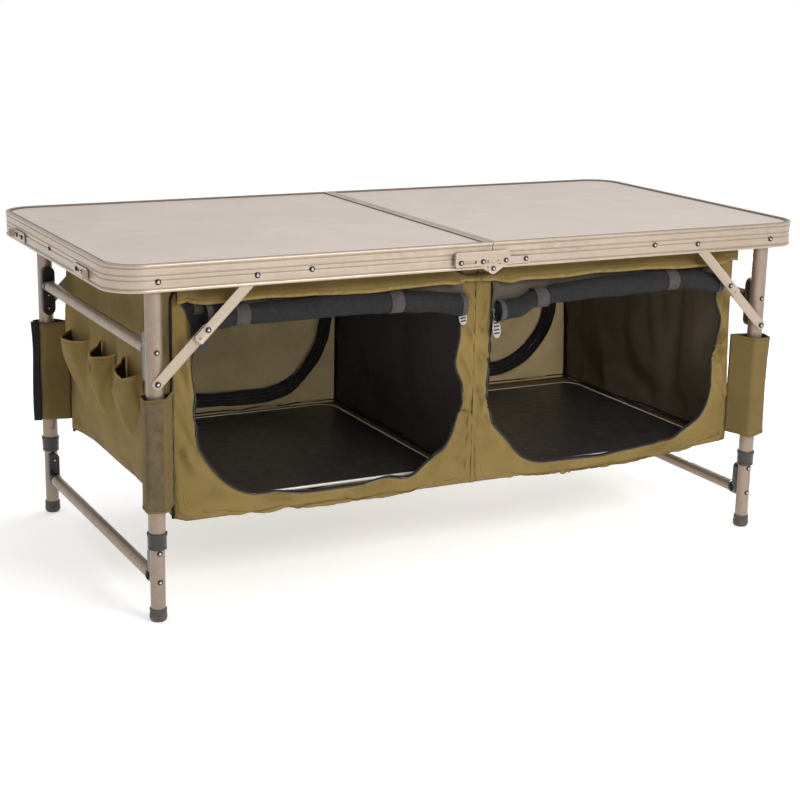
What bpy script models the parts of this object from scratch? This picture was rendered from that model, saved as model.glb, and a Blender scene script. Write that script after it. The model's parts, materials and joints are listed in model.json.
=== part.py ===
"""A folding camp kitchen table with a hanging fabric storage unit.

The table is open and at its lowest height. It is a case table: two framed half tops meet at a seam and
fold on hinges at their lower edges, a braced leg set folds flat under each half, and the lower legs slide
inside the upper legs. Metres, +Z up, +X along the length with the seam at X = 0, -Y at the front, floor at
Z = 0. Each leg set, link, latch, catch, button and the handle hangs on an empty at its joint.
"""

from math import cos, pi, radians, sin

import bmesh
import bpy
from mathutils import Matrix, Vector

# Overall size
LENGTH = 1.200
WIDTH = 0.600
HEIGHT = 0.531
GAP = 0.0003
NUDGE = 1e-4  # keeps faces of two solids out of one plane
STEP = 1e-5  # the height of a flat step on a lathe profile
SIDES = 16
SIDE_SIGNS = {"left": -1, "right": 1}
ROW_SIGNS = {"front": -1, "rear": 1}

# Rail extrusion of the top: distances inward from its outermost line, and heights
RAIL_DEPTH = 0.040
RAIL_BOTTOM = HEIGHT - RAIL_DEPTH
CORNER_RADIUS = 0.055
CORNER_STEPS = 7
WALL_OUTER = 0.0012
WALL_INNER = 0.0025
LIP_INSET = 0.0095
LIP_THICKNESS = 0.002
SLOT_INSET = 0.0045
LEDGE_TOP = HEIGHT - 0.0070
LEDGE_BOTTOM = HEIGHT - 0.0088
BEAD_TOP_HEIGHT = 0.0050
BEAD_BOTTOM_HEIGHT = 0.0035
SEAM_HALF_GAP = 0.0006
SEAM_STRIP = 0.018
SEAM_LEDGE = 0.012
SEAM_WALL = 0.002

# Board of the top, which sits in the rail's slot, and the flat stiffener under it
PANEL_TOP = HEIGHT - 0.0024
PANEL_THICKNESS = 0.0040
PANEL_INSET = 0.0055
PANEL_REBATE = 0.0006
FACE_CLEARANCE = 0.0005
PANEL_RIVET_Z = 0.5093
STIFFENER_X = 0.299
STIFFENER_WIDTH = 0.022
STIFFENER_DEPTH = 0.0040

# Legs
LEG_X = 0.531
LEG_Y = 0.276
PIVOT_Z = 0.506
LEG_TOP = PIVOT_Z + 0.011
UPPER_RADIUS = 0.0125
UPPER_BORE = 0.0113
COLLAR_RADIUS = 0.014
COLLAR_BOTTOM = 0.111
COLLAR_TOP = 0.136
LOWER_RADIUS = 0.0110
LOWER_BORE = 0.0098
LOWER_TOP = 0.310
FOOT_RADIUS = 0.0128
FOOT_HEIGHT = 0.020
FOOT_SOLE = 0.004
EXTENSION = 0.120
BUTTON_Z = 0.275
BUTTON_RADIUS = 0.0030
BUTTON_HOLE = 0.0034
BUTTON_INNER_Y = LEG_Y - 0.004
BUTTON_OUTER_Y = LEG_Y - LOWER_RADIUS + 0.0007

# Crossbars between the front and rear legs, and the moulded brackets that hold them
BAR_RADIUS = 0.0095
BAR_BORE = 0.0085
UPPER_BAR_Z = 0.402
LOWER_BAR_Z = 0.0635
BRACKET_WIDTH = 0.022
BRACKET_INNER_Y = 0.2552
BRACKET_OUTER_Y = 0.2705
UPPER_BRACKET_SPAN = (0.352, 0.434)
LOWER_BRACKET_SPAN = (0.052, 0.1095)
SPIGOT_RADIUS = 0.0078
SPIGOT_LENGTH = 0.013

# Folding braces: a square of side BRACE_REACH between the leg pivot, the rail rivet and the leg rivet
BRACE_REACH = 0.1475
RAIL_RIVET_X = LEG_X - BRACE_REACH
LEG_RIVET_Z = PIVOT_Z - BRACE_REACH
LINK_RADIUS = 0.008
LINK_TAIL = 0.020
UPPER_LINK_Y = (0.2952, 0.2970)
LOWER_LINK_Y = (0.2894, 0.2912)
PIN_RADIUS = 0.0025
PIN_HOLE = 0.0029
HEAD_RADIUS = 0.0042
PIVOT_SPACER = 0.005
UPPER_LEG_RIVET_Z = 0.4035
LOWER_LEG_RIVETS_Z = (0.062, 0.106)

# Fittings on the outer faces of the rails
RIVET_Z = 0.5033
HINGE_AXIS_Z = 0.4915
EAR_RADIUS = 0.0085
LEAF_LENGTH = 0.064
LEAF_TOP = 0.508
LEAF_BOTTOM = 0.4965
INNER_LEAF_Y = (0.3003, 0.3015)
OUTER_LEAF_Y = (0.3018, 0.3030)
LATCH_Y = (0.3033, 0.3045)
LATCH_X = (-0.067, 0.028)
LATCH_Z = (0.4965, 0.5190)
LATCH_STUD_X = (-0.057, -0.019)
LATCH_SLOT = 0.0250
LATCH_TAB = 0.0057
LATCH_TAB_HALF = 0.0095
LATCH_RIVET_X = 0.021
SLOT_HALF_WIDTH = 0.0025
STUD_RADIUS = 0.0021
CATCH_X = (0.6003, 0.6015)
CATCH_Y = (0.134, 0.200)
CATCH_Z = (0.4965, 0.5115)
CATCH_STUD_Y = (0.148, 0.176)
CATCH_SLOT = 0.012
CATCH_TAB = 0.0087
CATCH_TAB_HALF = 0.0060
TAB_THICKNESS = 0.0012
KEEPER_Y = 0.170
HANDLE_X = 0.6045
HANDLE_Z = 0.502
HANDLE_HALF_WIDTH = 0.058
HANDLE_ARM_Y = 0.046
HANDLE_DROP = 0.043
HANDLE_BEND = 0.012
HANDLE_RADIUS = 0.0032
HANDLE_HOLE = 0.0036
HANDLE_EAR_Y = (0.0505, 0.0565)
HANDLE_EAR_WALL = 0.0013

# Fabric storage unit: one compartment under each half, sleeves round the legs, tool pockets at one end
STORE_X = 0.490
STORE_Y = 0.255
STORE_Z = (0.146, 0.485)
STORE_SEAM = 0.0015
FABRIC = 0.002
DOOR_X = (0.026, 0.462)
DOOR_Z = (0.172, 0.470)
DOOR_CORNER = 0.075
BOARD_X = {"left": (-0.459, -0.019), "right": (0.044, 0.484)}
BOARD_Y = {"left": (-0.205, 0.235), "right": (-0.235, 0.205)}
BOARD_THICKNESS = 0.003
ROLL_X = (0.032, 0.452)
ROLL_Y = 0.2718
ROLL_Z = 0.4455
ROLL_RADIUS = 0.0163
SLEEVE_Z = (0.170, 0.338)
SLEEVE_HALF = (0.0225, 0.0180)
SLEEVE_WALL = 0.0020
SLEEVE_CORNER = 0.012
POCKET_EDGES = (0.225, 0.115, 0.010, -0.110)
POCKET_Z = (0.150, 0.336)
POCKET_DEPTHS = (0.006, 0.036)

# Colour, roughness, metallic
FINISHES = {
    "anodised_rail": ((0.50, 0.43, 0.35), 0.38, 0.85),
    "painted_tube": ((0.42, 0.34, 0.27), 0.42, 0.60),
    "laminate": ((0.62, 0.57, 0.53), 0.55, 0.0),
    "black_plastic": ((0.025, 0.025, 0.027), 0.45, 0.0),
    "rubber": ((0.05, 0.045, 0.045), 0.75, 0.0),
    "steel": ((0.45, 0.43, 0.40), 0.30, 1.0),
    "olive_fabric": ((0.20, 0.15, 0.04), 0.85, 0.0),
    "black_fabric": ((0.02, 0.02, 0.022), 0.90, 0.0),
}


def clear_scene():
    for obj in list(bpy.data.objects):
        bpy.data.objects.remove(obj, do_unlink=True)


def collection(name):
    made = bpy.data.collections.new(name)
    bpy.context.scene.collection.children.link(made)
    return made


def material(name):
    if name in bpy.data.materials:
        return bpy.data.materials[name]
    colour, roughness, metallic = FINISHES[name]
    made = bpy.data.materials.new(name)
    made.use_nodes = True
    shader = made.node_tree.nodes["Principled BSDF"]
    shader.inputs["Base Color"].default_value = (*colour, 1.0)
    shader.inputs["Roughness"].default_value = roughness
    shader.inputs["Metallic"].default_value = metallic
    return made


def helper(data):
    """A working solid: hidden from renders until it is made a node."""
    obj = bpy.data.objects.new("cutter", data)
    CUTTERS.objects.link(obj)
    obj.hide_render = True
    obj.display_type = "WIRE"
    return obj


def from_bmesh(bm):
    mesh = bpy.data.meshes.new("solid")
    bmesh.ops.recalc_face_normals(bm, faces=bm.faces)
    bm.to_mesh(mesh)
    bm.free()
    return helper(mesh)


def block(low, high):
    """An upright box between two opposite corners."""
    low, high = Vector(low), Vector(high)
    bm = bmesh.new()
    place = Matrix.Translation((low + high) / 2) @ Matrix.Diagonal((*(high - low), 1))
    bmesh.ops.create_cube(bm, size=1, matrix=place)
    return from_bmesh(bm)


def along(start, end):
    """The matrix of a thing made on Z round its own middle, laid from start to end."""
    start, end = Vector(start), Vector(end)
    turn = (end - start).to_track_quat("Z", "Y").to_matrix().to_4x4()
    return Matrix.Translation((start + end) / 2) @ turn


def rod(start, end, radius, sides=SIDES):
    bm = bmesh.new()
    bmesh.ops.create_cone(
        bm,
        cap_ends=True,
        segments=sides,
        radius1=radius,
        radius2=radius,
        depth=(Vector(end) - Vector(start)).length,
        matrix=along(start, end),
    )
    return from_bmesh(bm)


def mesh_of(obj):
    """A curve or a modified object made a plain welded mesh, in its place."""
    bpy.context.view_layer.update()
    graph = bpy.context.evaluated_depsgraph_get()
    mesh = bpy.data.meshes.new_from_object(obj.evaluated_get(graph))
    bm = bmesh.new()
    bm.from_mesh(mesh)
    bm.transform(obj.matrix_world)
    bmesh.ops.remove_doubles(bm, verts=bm.verts, dist=1e-6)
    bpy.data.objects.remove(obj, do_unlink=True)
    return from_bmesh(bm)


def turned(profile, place, steps=SIDES):
    """A lathe shape: (radius, height) pairs from the bottom of its axis to the top, round Z."""
    mesh = bpy.data.meshes.new("profile")
    points = [(radius, 0, height) for radius, height in reversed(profile)]
    mesh.from_pydata(points, [(i, i + 1) for i in range(len(points) - 1)], [])
    obj = helper(mesh)
    obj.matrix_world = place
    screw = obj.modifiers.new("turn", "SCREW")
    screw.steps = screw.render_steps = steps
    screw.use_merge_vertices = True
    screw.merge_threshold = 1e-5
    return mesh_of(obj)


def plate(outline, thickness, place):
    """A flat outline in its own XY plane, with half its thickness each side, then put in place."""
    curve = bpy.data.curves.new("outline", "CURVE")
    curve.dimensions = "2D"
    curve.fill_mode = "BOTH"
    curve.extrude = thickness / 2
    spline = curve.splines.new("POLY")
    spline.points.add(len(outline) - 1)
    for point, (x, y) in zip(spline.points, outline):
        point.co = (x, y, 0, 1)
    spline.use_cyclic_u = True
    obj = helper(curve)
    obj.matrix_world = place
    return mesh_of(obj)


def swept(points, radius):
    """A round bar along a line of points."""
    curve = bpy.data.curves.new("line", "CURVE")
    curve.dimensions = "3D"
    curve.bevel_depth = radius
    curve.bevel_resolution = 2
    curve.use_fill_caps = True
    spline = curve.splines.new("POLY")
    spline.points.add(len(points) - 1)
    for point, place in zip(spline.points, points):
        point.co = (*place, 1)
    return mesh_of(helper(curve))


def arc(centre, radius, start, end, steps):
    """Points from start to end, in degrees, both included."""
    turns = [radians(start + (end - start) * i / steps) for i in range(steps + 1)]
    return [(centre[0] + radius * cos(a), centre[1] + radius * sin(a)) for a in turns]


def capsule(start, end, radius, steps=6):
    """The outline of a strip with round ends, in the XZ plane as (x, z)."""
    run = Vector(end) - Vector(start)
    facing = run.angle_signed(Vector((1, 0))) * 180 / pi
    return arc(end, radius, facing - 90, facing + 90, steps) + arc(
        start, radius, facing + 90, facing + 270, steps
    )


def rounded_box(low, high, radius, steps=4):
    """The outline of a rectangle with round corners."""
    (x0, y0), (x1, y1) = low, high
    corners = ((x1, y0, -90), (x1, y1, 0), (x0, y1, 90), (x0, y0, 180))
    points = []
    for x, y, turn in corners:
        centre = (x - radius if x == x1 else x + radius, y - radius if y == y1 else y + radius)
        points += arc(centre, radius, turn, turn + 90, steps)
    return points


def in_xz(y_pair):
    """Puts an outline drawn as (x, z) upright, between two values of Y."""
    return Matrix.Translation((0, sum(y_pair) / 2, 0)) @ Matrix.Rotation(pi / 2, 4, "X")


def in_yz(x_pair):
    """Puts an outline drawn as (y, z) upright, between two values of X."""
    turn = Matrix(((0, 0, 1, 0), (1, 0, 0, 0), (0, 1, 0, 0), (0, 0, 0, 1)))
    return Matrix.Translation((sum(x_pair) / 2, 0, 0)) @ turn


def xz_plate(outline, row, depths):
    """A plate on the front or rear face, between two distances from the middle plane."""
    pair = (row * depths[0], row * depths[1])
    return plate(outline, depths[1] - depths[0], in_xz(pair))


def combine(target, others, operation):
    for other in others:
        step = target.modifiers.new(operation.lower(), "BOOLEAN")
        step.operation = operation
        step.object = other
    return target


def unite(target, *others):
    return combine(target, others, "UNION")


def cut(target, *others):
    return combine(target, others, "DIFFERENCE")


def node(obj, name, finish, parent=None):
    """Makes a working solid a piece of the table, hung on its joint's empty where it has one."""
    CUTTERS.objects.unlink(obj)
    TABLE.objects.link(obj)
    obj.name = name
    obj.hide_render = False
    obj.display_type = "TEXTURED"
    obj.data.materials.append(material(finish))
    obj.data.shade_smooth()
    obj.data.set_sharp_from_angle(angle=radians(35))
    if parent:
        obj.parent = parent
        obj.matrix_parent_inverse = Matrix.Translation(-parent.location)
    return obj


def joint(name, place):
    """An empty on a joint's axis, named for the joint."""
    empty = bpy.data.objects.new(name, None)
    empty.empty_display_size = 0.03
    empty.location = place
    TABLE.objects.link(empty)
    return empty


def pin(x, z, row, steps, sides=12):
    """A stepped pin across the rails: (distance from the middle plane, radius) pairs."""
    heights = sorted(steps)
    profile = [(0, heights[0][0])]
    for distance, radius in heights:
        profile.append((radius, distance))
    profile.append((0, heights[-1][0]))
    place = Matrix.Translation((x, 0, z)) @ Matrix.Rotation(-row * pi / 2, 4, "X")
    return turned(profile, place, sides)


def rivet_steps(inner, face, proud=0.0017):
    """A pin from inside the rail out to a domed head on the face."""
    return [
        (inner, PIN_RADIUS),
        (face, PIN_RADIUS),
        (face + STEP, HEAD_RADIUS),
        (face + 0.6 * proud, HEAD_RADIUS * 0.85),
        (face + proud, HEAD_RADIUS * 0.45),
    ]


# ---------------------------------------------------------------- top


def half_line(side, inset, seam):
    """The U-shaped line of a half top at an inset from its outermost line, from seam to seam."""
    x, y, radius = LENGTH / 2 - inset, WIDTH / 2 - inset, CORNER_RADIUS - inset
    points = [(seam, -y)]
    points += arc((x - radius, -(y - radius)), radius, -90, 0, CORNER_STEPS)
    points += arc((x - radius, y - radius), radius, 0, 90, CORNER_STEPS)
    points.append((seam, y))
    return [(side * px, py) for px, py in points]


def rail_solid(side):
    """The U of extruded rail: a thin wall with a bead at its top and its foot, a lip and a ledge."""
    spans = (
        (0, RAIL_BOTTOM, RAIL_BOTTOM + BEAD_BOTTOM_HEIGHT),
        (WALL_OUTER, RAIL_BOTTOM + NUDGE, HEIGHT - NUDGE),
        (0, HEIGHT - BEAD_TOP_HEIGHT, HEIGHT),
    )
    solids = []
    for inset, low, high in spans:
        place = Matrix.Translation((0, 0, (low + high) / 2))
        seam = SEAM_HALF_GAP + (0 if inset else NUDGE)
        solids.append(plate(half_line(side, inset, seam), high - low, place))
    hollows = (
        (WALL_INNER, SEAM_HALF_GAP + SEAM_WALL, RAIL_BOTTOM - 0.005, LEDGE_BOTTOM),
        (LIP_INSET + 0.001, SEAM_LEDGE, LEDGE_BOTTOM - 0.002, LEDGE_TOP + 0.002),
        (SLOT_INSET, SEAM_HALF_GAP + SEAM_WALL + 0.001, LEDGE_TOP, HEIGHT - LIP_THICKNESS),
        (LIP_INSET, SEAM_STRIP, HEIGHT - LIP_THICKNESS - 0.002, HEIGHT + 0.005),
    )
    ring = unite(solids[1], solids[0], solids[2])
    for inset, seam, low, high in hollows:
        place = Matrix.Translation((0, 0, (low + high) / 2))
        cut(ring, plate(half_line(side, inset, seam), high - low, place))
    return ring


def frame(side_name):
    side = SIDE_SIGNS[side_name]
    ring = rail_solid(side)
    face = WIDTH / 2 - WALL_OUTER - 0.0002
    inner = WIDTH / 2 - WALL_INNER + 0.0004
    leg_inner = LEG_Y - UPPER_RADIUS
    for row in ROW_SIGNS.values():
        pivot = [
            (leg_inner - 0.0028, HEAD_RADIUS),
            (leg_inner - 0.0008, HEAD_RADIUS),
            (leg_inner - 0.0008 + STEP, PIN_RADIUS),
            (LEG_Y + UPPER_RADIUS + GAP, PIN_RADIUS),
            (LEG_Y + UPPER_RADIUS + GAP + STEP, PIVOT_SPACER),
            (inner, PIVOT_SPACER),
        ]
        link = [
            (UPPER_LINK_Y[0] - 0.0015, HEAD_RADIUS),
            (UPPER_LINK_Y[0] - GAP, HEAD_RADIUS),
            (UPPER_LINK_Y[0] - GAP + STEP, PIN_RADIUS),
            (inner, PIN_RADIUS),
        ]
        unite(ring, pin(side * LEG_X, PIVOT_Z, row, pivot))
        unite(ring, pin(side * RAIL_RIVET_X, PIVOT_Z, row, link))
        for x, z in ((LEG_X, PIVOT_Z), (RAIL_RIVET_X, PIVOT_Z), (STIFFENER_X, PANEL_RIVET_Z)):
            unite(ring, pin(side * x, z, row, rivet_steps(inner, face), 10))
    for stud in latch_studs(side_name) + end_studs(side_name):
        unite(ring, stud)
    if side_name == "right":
        for ear in handle_ears():
            unite(ring, ear)
    node(ring, f"{side_name}_frame", "anodised_rail")


def latch_studs(side_name):
    """The rivets that hold the hinge leaves, and on the left also guide the latch plates."""
    places = LATCH_STUD_X if side_name == "left" else (-LATCH_STUD_X[0],)
    layer = LATCH_Y[1] if side_name == "left" else OUTER_LEAF_Y[1]
    steps = [
        (WIDTH / 2 - WALL_OUTER - 0.0002, STUD_RADIUS),
        (layer + GAP, STUD_RADIUS),
        (layer + GAP + STEP, HEAD_RADIUS),
        (layer + 0.0012, HEAD_RADIUS * 0.85),
        (layer + 0.0020, HEAD_RADIUS * 0.4),
    ]
    return [pin(x, RIVET_Z, row, steps, 10) for x in places for row in ROW_SIGNS.values()]


def end_studs(side_name):
    """Guide rivets of the end catches on the left, and the studs they catch on the right."""
    side = SIDE_SIGNS[side_name]
    places = CATCH_STUD_Y if side_name == "left" else (KEEPER_Y,)
    start = side * (LENGTH / 2 - WALL_OUTER - 0.0002)
    neck = side * (CATCH_X[1] + GAP)
    tip = side * (CATCH_X[1] + 0.0016)
    z = (CATCH_Z[0] + CATCH_Z[1]) / 2
    studs = []
    for y in (row * place for place in places for row in ROW_SIGNS.values()):
        head = rod((neck, y, z), (tip, y, z), HEAD_RADIUS, 10)
        studs.append(unite(head, rod((start, y, z), ((neck + tip) / 2, y, z), STUD_RADIUS, 10)))
    return [mesh_of(stud) for stud in studs]


def handle_ears():
    ears = []
    reach = HANDLE_RADIUS + HANDLE_EAR_WALL
    for row in ROW_SIGNS.values():
        low, high = sorted(row * y for y in HANDLE_EAR_Y)
        ear = block(
            (LENGTH / 2 - WALL_OUTER - 0.0005, low, HANDLE_Z - reach),
            (HANDLE_X + reach, high, HANDLE_Z + reach),
        )
        hole = rod((HANDLE_X, low - 0.002, HANDLE_Z), (HANDLE_X, high + 0.002, HANDLE_Z), HANDLE_HOLE)
        ears.append(mesh_of(cut(ear, hole)))
    return ears


def panel(side_name):
    """The board: its edge is rebated to sit under the rail's lip, so its open face lies clear of the lip."""
    side = SIDE_SIGNS[side_name]
    layers = (
        (PANEL_INSET, SEAM_HALF_GAP + SEAM_WALL + 0.0015, PANEL_REBATE, PANEL_THICKNESS),
        (LIP_INSET + FACE_CLEARANCE, SEAM_STRIP + FACE_CLEARANCE, 0, PANEL_THICKNESS / 2),
    )
    solids = []
    for inset, seam, top, bottom in layers:
        place = Matrix.Translation((0, 0, PANEL_TOP - (top + bottom) / 2))
        solids.append(plate(half_line(side, inset, seam), bottom - top, place))
    board = unite(*solids)
    under = PANEL_TOP - PANEL_THICKNESS
    low, high = sorted(side * (STIFFENER_X + d * STIFFENER_WIDTH / 2) for d in (-1, 1))
    reach = WIDTH / 2 - LIP_INSET - 0.003
    strip = block((low, -reach, under - STIFFENER_DEPTH), (high, reach, under + 0.001))
    node(unite(board, strip), f"{side_name}_panel", "laminate")


# ---------------------------------------------------------------- hinges, latches, catches, handle


def leaf_outline(direction):
    """A hinge leaf as (x, z): a bar that runs away from the seam, and an ear round the hinge axis."""
    ear = arc((0, HINGE_AXIS_Z), EAR_RADIUS, 0, -128, 8)
    points = [(EAR_RADIUS, LEAF_TOP), *ear, (-0.024, LEAF_BOTTOM)]
    points += [(-LEAF_LENGTH, LEAF_BOTTOM), (-LEAF_LENGTH, LEAF_TOP)]
    return [(-direction * x, z) for x, z in points]


def hinges(fold):
    for row_name, row in ROW_SIGNS.items():
        inner = xz_plate(leaf_outline(-1), row, INNER_LEAF_Y)
        for x in LATCH_STUD_X:
            start, end = (row * (y + d) for y, d in zip(INNER_LEAF_Y, (-0.001, 0.001)))
            cut(inner, rod((x, start, RIVET_Z), (x, end, RIVET_Z), STUD_RADIUS + GAP, 10))
        steps = [
            (INNER_LEAF_Y[0] + 0.0002, PIN_RADIUS),
            (OUTER_LEAF_Y[1] + GAP, PIN_RADIUS),
            (OUTER_LEAF_Y[1] + GAP + STEP, HEAD_RADIUS - 0.0002),
            (OUTER_LEAF_Y[1] + 0.0014, HEAD_RADIUS * 0.6),
        ]
        unite(inner, pin(0, HINGE_AXIS_Z, row, steps))
        node(inner, f"{row_name}_left_hinge_leaf", "anodised_rail")
        outer = xz_plate(leaf_outline(1), row, OUTER_LEAF_Y)
        packing = [
            (0.014, LEAF_BOTTOM + 0.0002),
            (LEAF_LENGTH - 0.0002, LEAF_BOTTOM + 0.0002),
            (LEAF_LENGTH - 0.0002, LEAF_TOP - 0.0002),
            (0.014, LEAF_TOP - 0.0002),
        ]
        unite(outer, xz_plate(packing, row, (INNER_LEAF_Y[0], OUTER_LEAF_Y[0] + 0.0006)))
        for x, z, radius in (
            (-LATCH_STUD_X[0], RIVET_Z, STUD_RADIUS + GAP),
            (0, HINGE_AXIS_Z, PIN_HOLE),
        ):
            start, end = row * (INNER_LEAF_Y[0] - 0.002), row * (OUTER_LEAF_Y[1] + 0.002)
            cut(outer, rod((x, start, z), (x, end, z), radius, 12))
        node(outer, f"{row_name}_right_hinge_leaf", "anodised_rail", fold)


def latches():
    for row_name, row in ROW_SIGNS.items():
        outline = rounded_box(
            (LATCH_X[0], LATCH_Z[0]), (LATCH_X[1], LATCH_Z[1]), 0.004, 3
        )
        body = xz_plate(outline, row, LATCH_Y)
        for x in LATCH_STUD_X:
            slot = capsule((x, RIVET_Z), (x + LATCH_SLOT, RIVET_Z), SLOT_HALF_WIDTH, 4)
            cut(body, xz_plate(slot, row, (LATCH_Y[0] - 0.001, LATCH_Y[1] + 0.001)))
        middle = (LATCH_Z[0] + LATCH_Z[1]) / 2
        low, high = sorted(row * (LATCH_Y[0] + d) for d in (NUDGE, LATCH_TAB))
        tab = block(
            (LATCH_X[0] - TAB_THICKNESS, low, middle - LATCH_TAB_HALF),
            (LATCH_X[0] + 0.0010, high, middle + LATCH_TAB_HALF),
        )
        head = [
            (LATCH_Y[1] - 0.0006, HEAD_RADIUS),
            (LATCH_Y[1] + 0.0008, HEAD_RADIUS * 0.85),
            (LATCH_Y[1] + 0.0016, HEAD_RADIUS * 0.4),
        ]
        unite(body, tab, pin(LATCH_RIVET_X, RIVET_Z, row, head, 10))
        slide = joint(f"{row_name}_latch_slide", (0, row * LATCH_Y[0], RIVET_Z))
        node(body, f"{row_name}_latch_plate", "anodised_rail", slide)


def end_catches():
    z = (CATCH_Z[0] + CATCH_Z[1]) / 2
    faces = (-CATCH_X[1], -CATCH_X[0])
    for row_name, row in ROW_SIGNS.items():
        near, far = row * CATCH_Y[0], row * CATCH_Y[1]
        outline = rounded_box((min(near, far), CATCH_Z[0]), (max(near, far), CATCH_Z[1]), 0.003, 3)
        body = plate(outline, faces[1] - faces[0], in_yz(faces))
        for y in CATCH_STUD_Y:
            ends = (row * y, z), (row * (y + CATCH_SLOT), z)
            slot = capsule(*sorted(ends), SLOT_HALF_WIDTH, 4)
            cut(body, plate(slot, 0.006, in_yz(faces)))
        low, high = sorted((far - row * 0.0005, far + row * TAB_THICKNESS))
        tab = block(
            (-(CATCH_X[0] + CATCH_TAB), low, z - CATCH_TAB_HALF),
            (-CATCH_X[0] - NUDGE, high, z + CATCH_TAB_HALF),
        )
        slide = joint(f"{row_name}_catch_slide", (-CATCH_X[0], row * CATCH_Y[0], z))
        node(unite(body, tab), f"{row_name}_end_catch", "anodised_rail", slide)


def handle():
    """A wire carry handle, hanging on its two ears."""
    low = HANDLE_Z - HANDLE_DROP
    points = [(HANDLE_HALF_WIDTH, HANDLE_Z), (HANDLE_ARM_Y + 0.003, HANDLE_Z)]
    points += [(HANDLE_ARM_Y + 0.0008, HANDLE_Z - 0.0010), (HANDLE_ARM_Y, HANDLE_Z - 0.0035)]
    points += arc((HANDLE_ARM_Y - HANDLE_BEND, low + HANDLE_BEND), HANDLE_BEND, 0, -90, 5)
    line = [(HANDLE_X, y, z) for y, z in points]
    line += [(HANDLE_X, -y, z) for y, z in reversed(points)]
    swing = joint("handle_swing", (HANDLE_X, 0, HANDLE_Z))
    node(swept(line, HANDLE_RADIUS), "carry_handle", "black_plastic", swing)


# ---------------------------------------------------------------- legs


def upper_leg(side, row, name, parent):
    x, y = side * LEG_X, row * LEG_Y
    body = rod((x, y, COLLAR_BOTTOM + 0.004), (x, y, LEG_TOP), UPPER_RADIUS)
    collar = rod((x, y, COLLAR_BOTTOM), (x, y, COLLAR_TOP), COLLAR_RADIUS)
    bore = rod((x, y, COLLAR_BOTTOM - 0.01), (x, y, LEG_TOP + 0.01), UPPER_BORE)
    pivot_hole = rod((x, y - 0.02, PIVOT_Z), (x, y + 0.02, PIVOT_Z), PIN_HOLE, 12)
    unite(body, collar)
    cut(body, bore, pivot_hole)
    inner_face = row * (LEG_Y - 0.0205)
    for z in (BUTTON_Z, BUTTON_Z - EXTENSION):
        cut(body, rod((x, y - row * 0.005, z), (x, inner_face, z), BUTTON_HOLE, 12))
    face = LEG_Y + UPPER_RADIUS
    stud = [
        (face - 0.0010, PIN_RADIUS),
        (LOWER_LINK_Y[1] + GAP, PIN_RADIUS),
        (LOWER_LINK_Y[1] + GAP + STEP, HEAD_RADIUS),
        (LOWER_LINK_Y[1] + 0.0015, HEAD_RADIUS * 0.6),
    ]
    flat_head = [(face - 0.0011, HEAD_RADIUS), (face + 0.0006, HEAD_RADIUS * 0.8)]
    unite(body, pin(x, LEG_RIVET_Z, row, stud), pin(x, UPPER_LEG_RIVET_Z, row, flat_head, 10))
    node(body, name, "painted_tube", parent)


def lower_leg(side, row, name, parent):
    x, y = side * LEG_X, row * LEG_Y
    body = rod((x, y, FOOT_SOLE + GAP), (x, y, LOWER_TOP), LOWER_RADIUS)
    cut(body, rod((x, y, 0), (x, y, LOWER_TOP + 0.01), LOWER_BORE))
    inner_face = row * (LEG_Y - 0.02)
    cut(body, rod((x, y - row * 0.005, BUTTON_Z), (x, inner_face, BUTTON_Z), BUTTON_HOLE, 12))
    face = LEG_Y + LOWER_RADIUS
    for z in LOWER_LEG_RIVETS_Z:
        head = [
            (face - 0.0010, HEAD_RADIUS),
            (face + 0.0009, HEAD_RADIUS * 0.8),
            (face + 0.0017, HEAD_RADIUS * 0.36),
        ]
        unite(body, pin(x, z, row, head, 10))
    node(body, name, "painted_tube", parent)


def foot(side, row, name, parent):
    """A rubber cup, a little wider at its middle."""
    place = Matrix.Translation((side * LEG_X, row * LEG_Y, 0))
    socket = LOWER_RADIUS + GAP
    profile = [
        (0, 0),
        (FOOT_RADIUS * 0.90, 0),
        (FOOT_RADIUS, FOOT_HEIGHT * 0.4),
        (FOOT_RADIUS * 0.97, FOOT_HEIGHT),
        (socket, FOOT_HEIGHT),
        (socket, FOOT_SOLE),
        (0, FOOT_SOLE),
    ]
    node(turned(profile, place), name, "rubber", parent)


def bracket(side, row, span, leg_radius, bar_z, name, parent):
    """A moulded saddle on the leg's inner face, with a spigot for the end of the crossbar."""
    x = side * LEG_X
    half = BRACKET_WIDTH / 2
    outline = capsule((x, span[0] + half), (x, span[1] - half), half, 6)
    body = xz_plate(outline, row, (BRACKET_INNER_Y, BRACKET_OUTER_Y))
    y = row * LEG_Y
    cut(body, rod((x, y, span[0] - 0.01), (x, y, span[1] + 0.01), leg_radius + GAP))
    start, end = row * (BRACKET_INNER_Y + 0.001), row * (BRACKET_INNER_Y - SPIGOT_LENGTH)
    unite(body, rod((x, start, bar_z), (x, end, bar_z), SPIGOT_RADIUS, 12))
    node(body, name, "black_plastic", parent)


def crossbar(side, bar_z, name, parent):
    x, end = side * LEG_X, BRACKET_INNER_Y - GAP
    body = rod((x, -end, bar_z), (x, end, bar_z), BAR_RADIUS)
    cut(body, rod((x, -end - 0.01, bar_z), (x, end + 0.01, bar_z), BAR_BORE))
    node(body, name, "painted_tube", parent)


def button(side, row, name):
    """A snap button in the lower leg, which stops just short of the upper leg's bore."""
    x = side * LEG_X
    press = joint(f"{name}_press", (x, row * BUTTON_OUTER_Y, BUTTON_Z))
    start, end = row * BUTTON_INNER_Y, row * BUTTON_OUTER_Y
    body = rod((x, start, BUTTON_Z), (x, end, BUTTON_Z), BUTTON_RADIUS, 12)
    node(body, name, "steel", press)


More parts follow.
